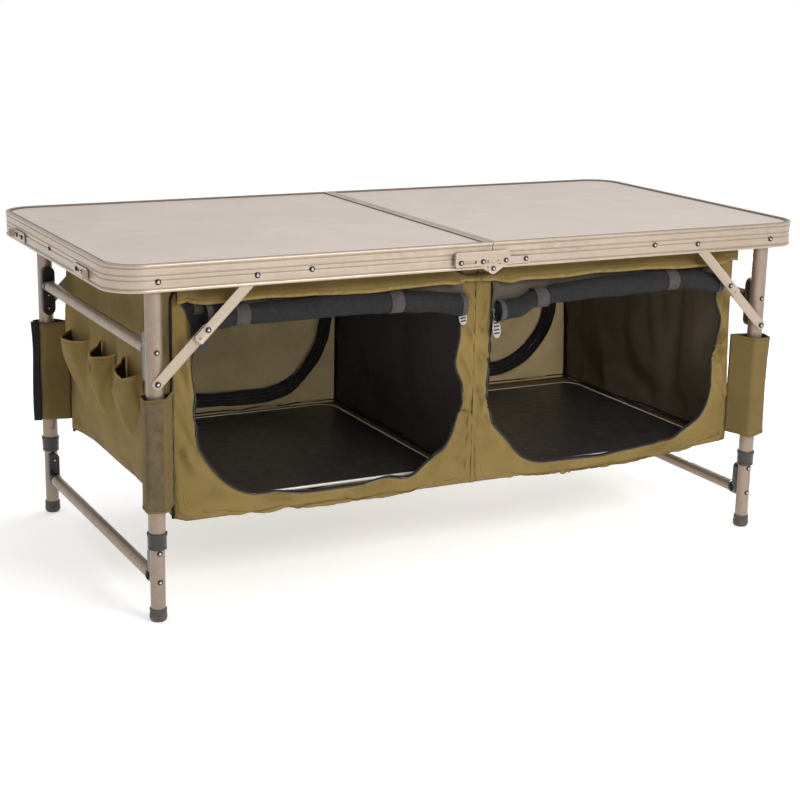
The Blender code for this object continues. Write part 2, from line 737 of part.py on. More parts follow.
def brace(side, row, name):
    """The two links of one folding brace, straight at 45 degrees when the leg is down."""
    rail_rivet = Vector((side * RAIL_RIVET_X, PIVOT_Z))
    leg_rivet = Vector((side * LEG_X, LEG_RIVET_Z))
    middle = (rail_rivet + leg_rivet) / 2
    slope = (leg_rivet - rail_rivet).normalized()
    upper = xz_plate(capsule(rail_rivet, middle + slope * LINK_TAIL, LINK_RADIUS), row, UPPER_LINK_Y)
    lower = xz_plate(capsule(middle, leg_rivet, LINK_RADIUS), row, LOWER_LINK_Y)
    for link, place, depths in ((upper, rail_rivet, UPPER_LINK_Y), (lower, leg_rivet, LOWER_LINK_Y)):
        start, end = row * (depths[0] - 0.002), row * (depths[1] + 0.002)
        cut(link, rod((place.x, start, place.y), (place.x, end, place.y), PIN_HOLE, 12))
    spacer = [(LOWER_LINK_Y[1] + GAP, HEAD_RADIUS), (UPPER_LINK_Y[0] + 0.0008, HEAD_RADIUS)]
    unite(upper, pin(middle.x, middle.y, row, spacer, 10))
    upper_axis = joint(f"{name}_upper_link_turn", (rail_rivet.x, 0, rail_rivet.y))
    lower_axis = joint(f"{name}_lower_link_turn", (leg_rivet.x, 0, leg_rivet.y))
    node(upper, f"{name}_upper_brace_link", "painted_tube", upper_axis)
    node(lower, f"{name}_lower_brace_link", "painted_tube", lower_axis)


def leg_set(side_name):
    side = SIDE_SIGNS[side_name]
    fold = joint(f"{side_name}_leg_fold", (side * LEG_X, 0, PIVOT_Z))
    slide = joint(f"{side_name}_leg_extension", (side * LEG_X, 0, COLLAR_BOTTOM))
    for row_name, row in ROW_SIGNS.items():
        name = f"{side_name}_{row_name}"
        upper_leg(side, row, f"{name}_upper_leg", fold)
        bracket(
            side, row, UPPER_BRACKET_SPAN, UPPER_RADIUS, UPPER_BAR_Z, f"{name}_upper_bracket", fold
        )
        lower_leg(side, row, f"{name}_lower_leg", slide)
        bracket(
            side, row, LOWER_BRACKET_SPAN, LOWER_RADIUS, LOWER_BAR_Z, f"{name}_lower_bracket", slide
        )
        foot(side, row, f"{name}_foot", slide)
        button(side, row, f"{name}_snap_button")
        brace(side, row, name)
    crossbar(side, UPPER_BAR_Z, f"{side_name}_upper_crossbar", fold)
    crossbar(side, LOWER_BAR_Z, f"{side_name}_lower_crossbar", slide)


# ---------------------------------------------------------------- fabric storage unit


def between(side, x0, x1):
    return sorted((side * x0, side * x1))


def compartment(side_name):
    """A fabric box open at the top, with a zipped doorway in its front."""
    side = SIDE_SIGNS[side_name]
    x0, x1 = between(side, STORE_SEAM, STORE_X)
    body = block((x0, -STORE_Y, STORE_Z[0]), (x1, STORE_Y, STORE_Z[1]))
    cut(
        body,
        block(
            (x0 + FABRIC, -STORE_Y + FABRIC, STORE_Z[0] + FABRIC),
            (x1 - FABRIC, STORE_Y - FABRIC, STORE_Z[1] + 0.01),
        ),
    )
    door0, door1 = between(side, *DOOR_X)
    doorway = rounded_box((door0, DOOR_Z[0]), (door1, DOOR_Z[1] + DOOR_CORNER), DOOR_CORNER, 5)
    top = DOOR_Z[1]
    doorway = [(x, min(z, top)) for x, z in doorway if z <= top + DOOR_CORNER / 2]
    cut(body, plate(doorway, 0.02, in_xz((-STORE_Y, -STORE_Y))))
    node(body, f"{side_name}_compartment", "olive_fabric")


def base_board(side_name):
    (x0, x1), (y0, y1) = BOARD_X[side_name], BOARD_Y[side_name]
    low = STORE_Z[0] + FABRIC + GAP
    body = block((x0, y0, low), (x1, y1, low + BOARD_THICKNESS))
    node(body, f"{side_name}_base_board", "black_plastic")


def rolled_door(side_name):
    x0, x1 = between(SIDE_SIGNS[side_name], *ROLL_X)
    body = rod((x0, -ROLL_Y, ROLL_Z), (x1, -ROLL_Y, ROLL_Z), ROLL_RADIUS, 12)
    node(body, f"{side_name}_rolled_door", "black_fabric")


def leg_sleeve(side_name, row_name):
    """A band of fabric wrapped round the leg, with a web back to the compartment's corner."""
    side, row = SIDE_SIGNS[side_name], ROW_SIGNS[row_name]
    x, y = side * LEG_X, row * LEG_Y
    span = SLEEVE_Z[1] - SLEEVE_Z[0]
    middle = Matrix.Translation((x, y, sum(SLEEVE_Z) / 2))
    half_x, half_y = SLEEVE_HALF
    wall = SLEEVE_WALL
    body = plate(rounded_box((-half_x, -half_y), (half_x, half_y), SLEEVE_CORNER), span, middle)
    hollow = rounded_box(
        (wall - half_x, wall - half_y), (half_x - wall, half_y - wall), SLEEVE_CORNER - wall
    )
    x0, x1 = between(side, STORE_X + GAP, LEG_X - half_x + SLEEVE_CORNER)
    y0, y1 = sorted((row * (LEG_Y - half_y + NUDGE), row * (LEG_Y - half_y + wall)))
    web = block((x0, y0, SLEEVE_Z[0] + NUDGE), (x1, y1, SLEEVE_Z[1] - NUDGE))
    unite(body, web)
    cut(body, plate(hollow, span + 0.02, middle))
    node(body, f"{side_name}_{row_name}_leg_sleeve", "olive_fabric")


def wedge(y_pair, back, depths, z_pair):
    """A pocket's form: flat at the back, and leaning out from its foot to its mouth."""
    y0, y1 = sorted(y_pair)
    bm = bmesh.new()
    place = Matrix.Translation((0, (y0 + y1) / 2, sum(z_pair) / 2)) @ Matrix.Diagonal(
        (1, y1 - y0, z_pair[1] - z_pair[0], 1)
    )
    bmesh.ops.create_cube(bm, size=1, matrix=place)
    for vert in bm.verts:
        depth = depths[1] if vert.co.z > sum(z_pair) / 2 else depths[0]
        vert.co.x = -back - (depth if vert.co.x < 0 else 0)
    return from_bmesh(bm)


def tool_pockets():
    """Three gusseted pockets sewn to one backing on the left end."""
    low, high = POCKET_Z
    back = STORE_X + GAP
    border = 0.004
    body = block(
        (-back - FABRIC, POCKET_EDGES[-1] - border, low), (-back, POCKET_EDGES[0] + border, high)
    )
    slope = (POCKET_DEPTHS[1] - POCKET_DEPTHS[0]) / (high - low)
    for near, far in zip(POCKET_EDGES[1:], POCKET_EDGES):
        pair = (near + 0.002, far - 0.002)
        unite(body, wedge(pair, back + NUDGE, POCKET_DEPTHS, (low + NUDGE, high - 0.004)))
    for near, far in zip(POCKET_EDGES[1:], POCKET_EDGES):
        pair = (near + 0.002 + FABRIC, far - 0.002 - FABRIC)
        over = high + 0.004
        depths = (POCKET_DEPTHS[0] - 2 * FABRIC, POCKET_DEPTHS[1] - 2 * FABRIC + slope * 0.008)
        cut(body, wedge(pair, back + FABRIC, depths, (low + FABRIC, over)))
    node(body, "tool_pocket_panel", "olive_fabric")


def build():
    fold = joint("centre_fold", (0, 0, HINGE_AXIS_Z))
    for side_name in SIDE_SIGNS:
        frame(side_name)
        panel(side_name)
        leg_set(side_name)
        compartment(side_name)
        base_board(side_name)
        rolled_door(side_name)
        for row_name in ROW_SIGNS:
            leg_sleeve(side_name, row_name)
    hinges(fold)
    latches()
    end_catches()
    handle()
    tool_pockets()


clear_scene()
TABLE = collection("camp_kitchen_table")
CUTTERS = collection("cutters")
build()
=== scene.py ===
"""The looks of a folding camp kitchen table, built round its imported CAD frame.

Metres, in the frame's own axes: +X along the length with the seam at X = 0, -Y at the front, +Z up. Hard
pieces are lathed, swept and bevelled. The storage unit is a set of sewn sheets that settle as cloth and are
then trimmed with tape, zips, binding and stitches. Pieces are made for the right-hand rear corner and
mirrored to the others, apart from the fabric, which is made afresh for each side.
"""

import json
from math import cos, hypot, pi, radians, sin, tau

import bmesh
import bpy
from mathutils import Matrix, Vector, noise

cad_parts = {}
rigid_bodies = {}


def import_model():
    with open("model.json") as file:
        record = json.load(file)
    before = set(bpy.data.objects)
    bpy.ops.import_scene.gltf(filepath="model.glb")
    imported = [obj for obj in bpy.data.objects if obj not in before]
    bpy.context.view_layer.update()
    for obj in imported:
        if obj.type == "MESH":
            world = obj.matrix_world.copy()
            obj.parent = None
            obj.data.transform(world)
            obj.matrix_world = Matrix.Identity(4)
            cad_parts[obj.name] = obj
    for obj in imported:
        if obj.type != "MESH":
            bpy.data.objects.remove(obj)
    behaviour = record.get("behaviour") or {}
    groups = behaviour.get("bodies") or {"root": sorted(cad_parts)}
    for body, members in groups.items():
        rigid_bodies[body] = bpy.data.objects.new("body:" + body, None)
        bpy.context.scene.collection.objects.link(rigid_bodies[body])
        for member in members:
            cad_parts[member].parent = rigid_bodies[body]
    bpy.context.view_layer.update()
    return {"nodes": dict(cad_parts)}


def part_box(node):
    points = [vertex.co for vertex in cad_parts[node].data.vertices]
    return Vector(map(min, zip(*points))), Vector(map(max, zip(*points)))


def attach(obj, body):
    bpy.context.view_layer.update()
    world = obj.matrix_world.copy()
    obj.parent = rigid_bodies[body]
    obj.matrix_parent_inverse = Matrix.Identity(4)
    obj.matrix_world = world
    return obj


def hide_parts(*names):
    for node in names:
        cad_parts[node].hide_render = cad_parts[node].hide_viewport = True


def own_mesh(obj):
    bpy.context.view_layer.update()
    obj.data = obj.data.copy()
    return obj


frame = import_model()

SIDES = {"left": -1, "right": 1}
ROWS = {"front": -1, "rear": 1}
FINE = 48


# ---------------------------------------------------------------- places taken from the frame


def middle(node):
    low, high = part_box(node)
    return (low + high) / 2


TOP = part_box("right_frame")[1].z
RAIL_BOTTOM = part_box("right_frame")[0].z
BOARD_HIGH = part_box("right_panel")[1]
PANEL_INSET = 0.0055
HALF_LENGTH = BOARD_HIGH.x + PANEL_INSET
HALF_WIDTH = BOARD_HIGH.y + PANEL_INSET
LEG = middle("right_rear_foot")
LEG_X, LEG_Y = LEG.x, LEG.y
FOOT_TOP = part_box("right_rear_foot")[1].z
UPPER_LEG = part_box("right_rear_upper_leg")
LOWER_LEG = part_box("right_rear_lower_leg")
UPPER_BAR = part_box("right_upper_crossbar")
LOWER_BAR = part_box("right_lower_crossbar")
UPPER_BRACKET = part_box("right_rear_upper_bracket")
LOWER_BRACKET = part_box("right_rear_lower_bracket")
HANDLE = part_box("carry_handle")
STORE_LOW, STORE_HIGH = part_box("right_compartment")
ROLL_LOW, ROLL_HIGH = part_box("right_rolled_door")
SLEEVE_LOW, SLEEVE_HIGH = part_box("right_rear_leg_sleeve")
POCKET_LOW, POCKET_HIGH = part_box("tool_pocket_panel")

# Sizes of the detail that the frame doesn't hold
UPPER_RADIUS = 0.0125
LOWER_RADIUS = 0.0110
COLLAR_HEIGHT = 0.025
CORNER_RADIUS = 0.055
WALL = 0.0012
PIVOT_Z = UPPER_LEG[1].z - 0.011
BRACE_REACH = 0.1475
LINK_RADIUS = 0.008
UPPER_LINK_Y = (0.2952, 0.2970)
LOWER_LINK_Y = (0.2894, 0.2912)
BRACKET_Y = (0.2552, 0.2705)
RIVET_RADIUS = 0.0044
SMALL_RIVET = 0.0034
STUD_RADIUS = 0.0021
BUTTON_Z = 0.275
BUTTON_HOLE = 0.0034
EXTENSION = 0.120
BOARD_START = 0.0042
BOARD_INSET = 0.0052
BOARD_BEND = 0.050
PANEL_RIVET = (0.299, 0.5093)
LATCH_RIVET_Z = 0.5033
LATCH_STUDS = (0.057, 0.019)
LATCH_FACE, LEAF_FACE = 0.3048, 0.3033
CATCH_FACE, CATCH_Z = 0.6018, 0.504
BACKWARD, FORWARD = (0, 1, 0), (0, -1, 0)
CLOTH = 0.0009
FABRIC_FACE = 0.0004


# ---------------------------------------------------------------- materials


class Shader:
    """A Principled material, with short calls for the nodes that feed it."""

    def __init__(self, name, metallic=0.0, **fixed):
        self.material = bpy.data.materials.new(name)
        self.material.use_nodes = True
        self.tree = self.material.node_tree
        self.bsdf = self.tree.nodes["Principled BSDF"]
        self.bsdf.inputs["Metallic"].default_value = metallic
        for key, value in fixed.items():
            self.bsdf.inputs[key.replace("_", " ")].default_value = value
        self.where = self.add("TexCoord").outputs
        self.place = self.where["Object"]
        self.normal = None

    def feed(self, socket, source):
        if isinstance(source, bpy.types.NodeSocket):
            self.tree.links.new(source, socket)
        elif source is not None:
            socket.default_value = source

    def add(self, kind, *sources, named=(), **settings):
        node = self.tree.nodes.new("ShaderNode" + kind)
        for key, value in settings.items():
            setattr(node, key, value)
        for socket, source in zip(node.inputs, sources):
            self.feed(socket, source)
        for key, source in dict(named).items():
            self.feed(node.inputs[key], source)
        return node

    def math(self, operation, *values):
        return self.add("Math", *values, operation=operation).outputs[0]

    def span(self, value, low, high, to_low, to_high):
        """value taken from one range to another, and clamped to it."""
        return self.add("MapRange", value, low, high, to_low, to_high).outputs[0]

    def noise(self, scale, detail=3.0, stretch=None, rough=0.5, warp=0.0):
        place = self.place
        if stretch:
            place = self.add("VectorMath", place, stretch, operation="MULTIPLY").outputs[0]
        named = {
            "Vector": place,
            "Scale": scale,
            "Detail": detail,
            "Roughness": rough,
            "Distortion": warp,
        }
        return self.add("TexNoise", named=named).outputs[0]

    def axes(self):
        return self.add("SeparateXYZ", self.place).outputs

    def mix(self, share, a, b):
        node = self.add("Mix", data_type="RGBA")
        self.feed(node.inputs[0], share)
        for socket, colour in ((node.inputs[6], a), (node.inputs[7], b)):
            self.feed(socket, colour if isinstance(colour, bpy.types.NodeSocket) else (*colour, 1))
        return node.outputs[2]

    def bump(self, height, distance, strength=1.0):
        named = {"Height": height, "Distance": distance, "Strength": strength}
        if self.normal:
            named["Normal"] = self.normal
        self.normal = self.add("Bump", named=named).outputs[0]

    def edges(self, low=0.52, high=0.60):
        """1 on worn convex edges and 0 elsewhere, broken up by noise."""
        pointed = self.span(self.add("NewGeometry").outputs["Pointiness"], low, high, 0.0, 1.0)
        return self.math("MULTIPLY", pointed, self.span(self.noise(70), 0.40, 0.62, 0.1, 1.0))

    def weave_axes(self):
        """Two coordinates in the cloth's own plane, chosen by the way that the surface faces."""
        x, y, z = self.axes()[:3]
        turn = self.add("SeparateXYZ", self.where["Normal"]).outputs
        faces_x = self.math("GREATER_THAN", self.math("ABSOLUTE", turn[0]), 0.707)
        faces_z = self.math("GREATER_THAN", self.math("ABSOLUTE", turn[2]), 0.707)
        u = self.add("Mix", faces_x, data_type="FLOAT", named={"A": x, "B": y}).outputs[0]
        v = self.add("Mix", faces_z, data_type="FLOAT", named={"A": z, "B": y}).outputs[0]
        return u, v

    def weave(self, pitch):
        """The height of a plain weave: each thread rises over one crossing and dips under the next."""
        u, v = self.weave_axes()
        waves = [self.math("SINE", self.math("MULTIPLY", c, pi / pitch)) for c in (u, v)]
        over = self.math("SIGN", self.math("MULTIPLY", *waves))
        threads = []
        for wave, lift in zip(waves, (0.25, -0.25)):
            level = self.math("MULTIPLY_ADD", over, lift, 0.75)
            threads.append(self.math("MULTIPLY", self.math("ABSOLUTE", wave), level))
        return self.math("MAXIMUM", *threads)

    def done(self, colour, roughness, through=0.0):
        """through is the share of light that passes, as in thin cloth lit from behind."""
        self.feed(self.bsdf.inputs["Base Color"], colour)
        self.feed(self.bsdf.inputs["Roughness"], roughness)
        if self.normal:
            self.feed(self.bsdf.inputs["Normal"], self.normal)
        if through:
            lit = self.add("BsdfTranslucent", colour)
            both = self.add("MixShader", through, self.bsdf.outputs[0], lit.outputs[0])
            self.tree.links.new(both.outputs[0], self.tree.nodes["Material Output"].inputs["Surface"])
        return self.material


def shade(colour, factor):
    return tuple(min(1.0, c * factor) for c in colour)


def metal(name, colour, low, high, streak=(1, 1, 1), wear=0.5, metallic=0.9):
    """Coated or anodised metal: soft streaks, fine scratches and bright worn edges."""
    s = Shader(name, metallic)
    cloud = s.span(s.noise(9, 4), 0.3, 0.7, 0.0, 1.0)
    tone = s.mix(cloud, shade(colour, 0.93), shade(colour, 1.06))
    drawn = s.span(s.noise(420, 2, streak), 0.35, 0.65, 0.0, 1.0)
    tone = s.mix(s.math("MULTIPLY", drawn, 0.25), tone, shade(colour, 0.86))
    tone = s.mix(s.math("MULTIPLY", s.edges(), wear), tone, shade(colour, 1.35))
    grain = s.span(s.noise(160, 4, streak), 0.3, 0.7, low, high)
    s.bump(drawn, 0.00003, 0.5)
    s.bump(s.noise(1600, 2), 0.00004, 0.35)
    return s.done(tone, grain)


def laminate(name, colour):
    """Pale board with a fine pebbled face, faint clouds and a few rubbed places."""
    s = Shader(name)
    cloud = s.span(s.noise(7, 5, warp=0.4), 0.35, 0.65, 0.0, 1.0)
    tone = s.mix(cloud, shade(colour, 0.955), shade(colour, 1.03))
    fleck = s.span(s.noise(900, 2), 0.42, 0.60, 0.0, 1.0)
    tone = s.mix(s.math("MULTIPLY", fleck, 0.5), tone, shade(colour, 0.90))
    fibre = s.span(s.noise(260, 3, (0.12, 1, 1)), 0.45, 0.70, 0.0, 0.5)
    tone = s.mix(fibre, tone, shade(colour, 1.05))
    s.bump(s.noise(520, 3), 0.00010, 0.6)
    return s.done(tone, s.span(s.noise(22, 4), 0.3, 0.7, 0.40, 0.56))


def plastic(name, colour, low, high, grain=900, depth=0.00005, dust=0.2):
    """Moulded plastic or rubber with a fine sparked texture, rubbed edges and a little dust."""
    s = Shader(name, Specular_IOR_Level=0.45)
    cloud = s.span(s.noise(26, 4), 0.35, 0.65, 0.0, 1.0)
    tone = s.mix(cloud, shade(colour, 0.82), shade(colour, 1.18))
    tone = s.mix(s.math("MULTIPLY", s.edges(), 0.5), tone, shade(colour, 2.2))
    dusty = s.math("MULTIPLY", s.span(s.noise(48, 5), 0.52, 0.75, 0.0, 1.0), dust)
    tone = s.mix(dusty, tone, (0.23, 0.20, 0.17))
    s.bump(s.noise(grain, 3), depth, 0.7)
    return s.done(tone, s.span(s.noise(60, 4), 0.3, 0.7, low, high))


def fabric(name, colour, pitch=0.00085, rough=0.82, contrast=0.35, depth=0.00016, heather=0.0, sheen=0.03,
           through=0.0):
    """Woven polyester: threads by position, so it needs no UVs, with uneven dye, soft creases and lint."""
    s = Shader(name, Sheen_Weight=sheen, Sheen_Roughness=0.45, Specular_IOR_Level=0.25)
    thread = s.weave(pitch)
    cloud = s.span(s.noise(11, 5, warp=0.6), 0.32, 0.68, 0.0, 1.0)
    tone = s.mix(cloud, shade(colour, 0.86), shade(colour, 1.10))
    slub = s.span(s.noise(330, 2, (1, 1, 0.3)), 0.45, 0.75, 0.0, 0.35)
    tone = s.mix(slub, tone, shade(colour, 1.22))
    tone = s.mix(s.math("MULTIPLY", s.math("SUBTRACT", 1.0, thread), contrast), tone, shade(colour, 0.45))
    if heather:
        mottle = s.span(s.noise(650, 2), 0.45, 0.60, 0.0, heather)
        tone = s.mix(mottle, tone, shade(colour, 3.2))
    s.bump(s.noise(26, 4, warp=0.8), 0.0018, 0.5)
    s.bump(s.noise(120, 3), 0.0003, 0.4)
    s.bump(thread, depth, 0.8)
    return s.done(tone, s.span(s.noise(80, 3), 0.3, 0.7, rough - 0.07, rough + 0.07), through)


def webbing(name, colour, rib=0.0011):
    """Narrow woven tape: ribs in both directions, coarser than the cloth's weave."""
    s = Shader(name, Sheen_Weight=0.03, Specular_IOR_Level=0.3)
    ribs = s.weave(rib)
    tone = s.mix(s.span(s.noise(90, 3), 0.3, 0.7, 0.0, 1.0), shade(colour, 0.8), shade(colour, 1.25))
    tone = s.mix(s.math("MULTIPLY", s.math("SUBTRACT", 1.0, ribs), 0.5), tone, shade(colour, 0.4))
    s.bump(ribs, 0.00025, 0.9)
    return s.done(tone, s.span(s.noise(200, 2), 0.3, 0.7, 0.66, 0.82))


OLIVE = (0.222, 0.152, 0.046)
CHAMPAGNE = (0.45, 0.366, 0.290)
BRONZE = (0.29, 0.224, 0.171)

RAIL = metal("rail_anodised", CHAMPAGNE, 0.30, 0.46, (0.05, 0.05, 1), metallic=0.62)
TUBE = metal("tube_coated", BRONZE, 0.32, 0.48, (1, 1, 0.05), metallic=0.55)
LINK = metal("link_coated", (0.44, 0.356, 0.280), 0.34, 0.50, wear=0.3, metallic=0.45)
# Painted shade: a dark copy of the rail metal for the lip's faces beside the board, in place of the shadow
# line round it
LIP_PAINTED_SHADE = metal("rail_lip_painted_shade", (0.16, 0.128, 0.104), 0.35, 0.50, metallic=0.5)
BLACK_CHROME = metal("rivet_black_chrome", (0.045, 0.040, 0.037), 0.10, 0.26, wear=0.8, metallic=1.0)
# Partly painted highlight: pale metal for the rivets' crowns, partly a steel crown and partly the bright
# glint on the dark domes
RIVET_CROWN_HIGHLIGHT = metal("rivet_crown_painted_highlight", (0.58, 0.55, 0.52), 0.14, 0.24, wear=0.4, metallic=1.0)
RIVET = [BLACK_CHROME, RIVET_CROWN_HIGHLIGHT]
STEEL = metal("plated_steel", (0.50, 0.47, 0.44), 0.18, 0.36, wear=0.6, metallic=1.0)
PULL = metal("zip_pull_metal", (0.36, 0.345, 0.335), 0.22, 0.36, wear=0.7, metallic=0.8)
# The dark pulls' own metal, also used as painted shade for the slots of the pale pulls
PULL_DARK_AND_SLOT_SHADE = metal("zip_pull_dark_and_slot_shade", (0.035, 0.033, 0.034), 0.24, 0.40, wear=0.5, metallic=0.6)
BOARD = laminate("laminate_warm_grey", (0.60, 0.515, 0.455))
BLACK_PLASTIC = plastic("plastic_black", (0.016, 0.0145, 0.0145), 0.14, 0.28, dust=0.1)
COLLAR = plastic("plastic_collar", (0.036, 0.030, 0.027), 0.16, 0.30, dust=0.1)
RUBBER = plastic("rubber_foot", (0.058, 0.048, 0.043), 0.52, 0.72, 500, 0.00010, dust=0.35)
SHEET_BLACK = plastic("board_black", (0.024, 0.0225, 0.0225), 0.34, 0.46, 1300, 0.00003, dust=0.05)
# Partly painted highlight: silver piping made near white and barely metallic, in place of the bright
# reflection along the board's edge
PIPING_PAINTED_HIGHLIGHT = metal("piping_silver_painted_highlight", (0.93, 0.90, 0.86), 0.16, 0.26, wear=0.2, metallic=0.15)
OLIVE_CLOTH = fabric("cloth_olive", OLIVE)
# Painted shade: the olive cloth darkened for the leg wraps, which are the same cloth turned away from the
# light
SLEEVE_CLOTH_PAINTED_SHADE = fabric("cloth_sleeve_painted_shade", (0.160, 0.110, 0.036))
BACK_CLOTH = fabric("cloth_back", (0.30, 0.230, 0.119), contrast=0.25, sheen=0.02, through=0.34)
# Painted shade: a darker copy of cloth_back for the left compartment's back wall, which lies in deeper shade
BACK_CLOTH_PAINTED_SHADE_LEFT = fabric("cloth_back_painted_shade_left", (0.215, 0.165, 0.086), contrast=0.25, sheen=0.02, through=0.34)
FLOOR_CLOTH = fabric("cloth_floor", (0.200, 0.152, 0.070), contrast=0.25, sheen=0.02)
DIVIDER_CLOTH = fabric("cloth_divider", (0.052, 0.041, 0.038), contrast=0.25, sheen=0.02)
LINING = fabric("cloth_lining", (0.030, 0.024, 0.022), contrast=0.25, sheen=0.02)
# Painted shade: a darker, browner olive for the end walls' inner faces, the same cloth as outside seen in
# the compartment's shade
INSIDE_CLOTH_PAINTED_SHADE = fabric("cloth_inside_painted_shade", (0.125, 0.096, 0.064), contrast=0.25, sheen=0.02)
HEAD_CLOTH = fabric("cloth_door_head", (0.085, 0.070, 0.052), 0.0011, contrast=0.30, sheen=0.02)
ROLL_CLOTH = fabric("cloth_charcoal", (0.0140, 0.0132, 0.0135), 0.0011, 0.86, 0.30, 0.00022, 0.30, 0.02)
# Partly painted highlight: a lighter olive for the pockets' binding and the valance's hem, partly the
# binding's own colour and partly the highlight along the folded edges
OLIVE_TAPE_AND_HEM_HIGHLIGHT = webbing("tape_olive_and_hem_highlight", shade(OLIVE, 1.25), 0.0009)
GREY_TAPE = webbing("tape_grey", (0.062, 0.057, 0.056))
ZIP_TAPE = webbing("tape_zip_black", (0.0070, 0.0068, 0.0074), 0.0008)
BACK_TAPE = webbing("tape_zip_grey", (0.030, 0.0275, 0.0275), 0.0008)
ZIP_TEETH = plastic("zip_teeth", (0.050, 0.048, 0.048), 0.14, 0.24, 2500, 0.00004, dust=0.05)
HOOK_STRIP = webbing("hook_strip_black", (0.0085, 0.0088, 0.0095), 0.0013)
LOOP_STRIP = webbing("loop_strip_brown", (0.118, 0.084, 0.040), 0.0009)
THREAD = webbing("thread_olive", shade(OLIVE, 2.1), 0.0005)
DARK_THREAD = webbing("thread_grey", (0.15, 0.142, 0.138), 0.0005)


# ---------------------------------------------------------------- shapes


def quads(across, along):
    """The faces of a grid of points laid out row by row."""
    row = across + 1
    starts = [j * row + i for j in range(along) for i in range(across)]
    return [(k, k + 1, k + row + 1, k + row) for k in starts]


class Shape:
    """Points and faces gathered from simple forms. Every form is built where it belongs."""

    def __init__(self):
        self.points, self.faces, self.inks = [], [], []

    def add(self, points, faces, ink=0):
        base = len(self.points)
        self.points += [Vector(p) for p in points]
        self.faces += [tuple(base + i for i in face) for face in faces]
        self.inks += [ink] * len(faces)
        return self

    def join(self, other):
        base = len(self.points)
        self.points += other.points
        self.faces += [tuple(base + i for i in face) for face in other.faces]
        self.inks += other.inks
        return self

    def mirrored(self, x=1, y=1):
        """A copy turned over X or Y, or both, with its faces still outward."""
        copy = Shape()
        copy.points = [Vector((p.x * x, p.y * y, p.z)) for p in self.points]
        copy.faces = [face[::-1] if x * y < 0 else face for face in self.faces]
        copy.inks = list(self.inks)
        return copy

    def lathe(self, profile, place=None, steps=FINE, ink=0):
        """A turned form: (radius, height) pairs round Z, put in place. A radius of 0 is a pole."""
        place = place or Matrix()
        points, rings, faces = [], [], []
        for radius, height in profile:
            count = steps if radius > 1e-7 else 1
            rings.append(range(len(points), len(points) + count))
            for i in range(count):
                points.append((radius * cos(tau * i / steps), radius * sin(tau * i / steps), height))
        for low, high in zip(rings, rings[1:]):
            for i in range(steps):
                j = (i + 1) % steps
                ring = low[i % len(low)], low[j % len(low)], high[j % len(high)], high[i % len(high)]
                face = tuple(dict.fromkeys(ring))
                if len(face) > 2:
                    faces.append(face)
        return self.add([place @ Vector(p) for p in points], faces, ink)

    def sweep(self, path, profile, up, closed=False, caps=True, ink=0):
        """A profile of (across, up) pairs carried along a path. up is one vector, or one for each point.
        The profile may also be a list of profiles, one for each point."""
        path = [Vector(p) for p in path]
        count = len(path)
        points, faces = [], []
        for i, point in enumerate(path):
            before = path[i - 1] if i or closed else point
            after = path[(i + 1) % count] if closed or i < count - 1 else point
            ahead = (after - before).normalized()
            rise = Vector(up[i]) if isinstance(up, list) else Vector(up)
            rise = (rise - ahead * rise.dot(ahead)).normalized()
            across = ahead.cross(rise)
            outline = profile[i] if isinstance(profile[0], list) else profile
            points += [point + across * a + rise * b for a, b in outline]
        ring = len(points) // count
        for i in range(count if closed else count - 1):
            j = (i + 1) % count
            for k in range(ring):
                m = (k + 1) % ring
                faces.append((i * ring + k, i * ring + m, j * ring + m, j * ring + k))
        if caps and not closed:
            faces.append(tuple(range(ring))[::-1])
            faces.append(tuple(range((count - 1) * ring, count * ring)))
        return self.add(points, faces, ink)

    def tube(self, path, radius, sides=10, closed=False, ink=0):
        path = [Vector(p) for p in path]
        ahead = (path[1] - path[0]).normalized()
        rise = ahead.orthogonal().normalized()
        rises = []
        for i in range(len(path)):
            last = path[min(i + 1, len(path) - 1)] - path[max(i - 1, 0)]
            rise = (rise - last.normalized() * rise.dot(last.normalized())).normalized()
            rises.append(rise.copy())
        return self.sweep(path, ring_profile(radius, sides), rises, closed, ink=ink)

    def grid(self, across, along, at, ink=0):
        """A sheet of quads, whose point (u, v), each from 0 to 1, is at(u, v)."""
        points = [at(i / across, j / along) for j in range(along + 1) for i in range(across + 1)]
        return self.add(points, quads(across, along), ink)

    def stack(self, rings, ink=0):
        """A solid whose layers are rings of points, with a face at either end."""
        count = len(rings[0])
        last = count * (len(rings) - 1)
        faces = [tuple(range(count))[::-1], tuple(range(last, last + count))]
        for base in range(0, last, count):
            turn = [base + i for i in range(count)]
            faces += [(a, b, b + count, a + count) for a, b in zip(turn, turn[1:] + turn[:1])]
        return self.add([point for ring in rings for point in ring], faces, ink)

    def mesh(self, name, recalc=True):
        mesh = bpy.data.meshes.new(name)
        mesh.from_pydata([tuple(p) for p in self.points], [], self.faces)
        mesh.polygons.foreach_set("material_index", self.inks)
        if recalc:
            bm = bmesh.new()
            bm.from_mesh(mesh)
            bmesh.ops.recalc_face_normals(bm, faces=bm.faces)
            bm.to_mesh(mesh)
            bm.free()
        mesh.update()
        return mesh


def ring_profile(radius, sides=12):
    return [(radius * cos(tau * i / sides), radius * sin(tau * i / sides)) for i in range(sides)]


def strip_profile(width, thickness, edge=0.3):
    """A flat band with softened edges, centred on its path."""
    w, t = width / 2, thickness / 2
    e = min(w, thickness) * edge
    under = [(-w, -t + e), (-w + e, -t), (w - e, -t), (w, -t + e)]
    return under + [(w, t - e), (w - e, t), (-w + e, t), (-w, t - e)]


def peg(radius, low, high):
    """The profile of a plain round pin, or of the hole for one."""
    return [(0, low), (radius, low), (radius, high), (0, high)]


def arc(centre, radius, start, end, steps):
    turns = [radians(start + (end - start) * i / steps) for i in range(steps + 1)]
    return [(centre[0] + radius * cos(a), centre[1] + radius * sin(a)) for a in turns]


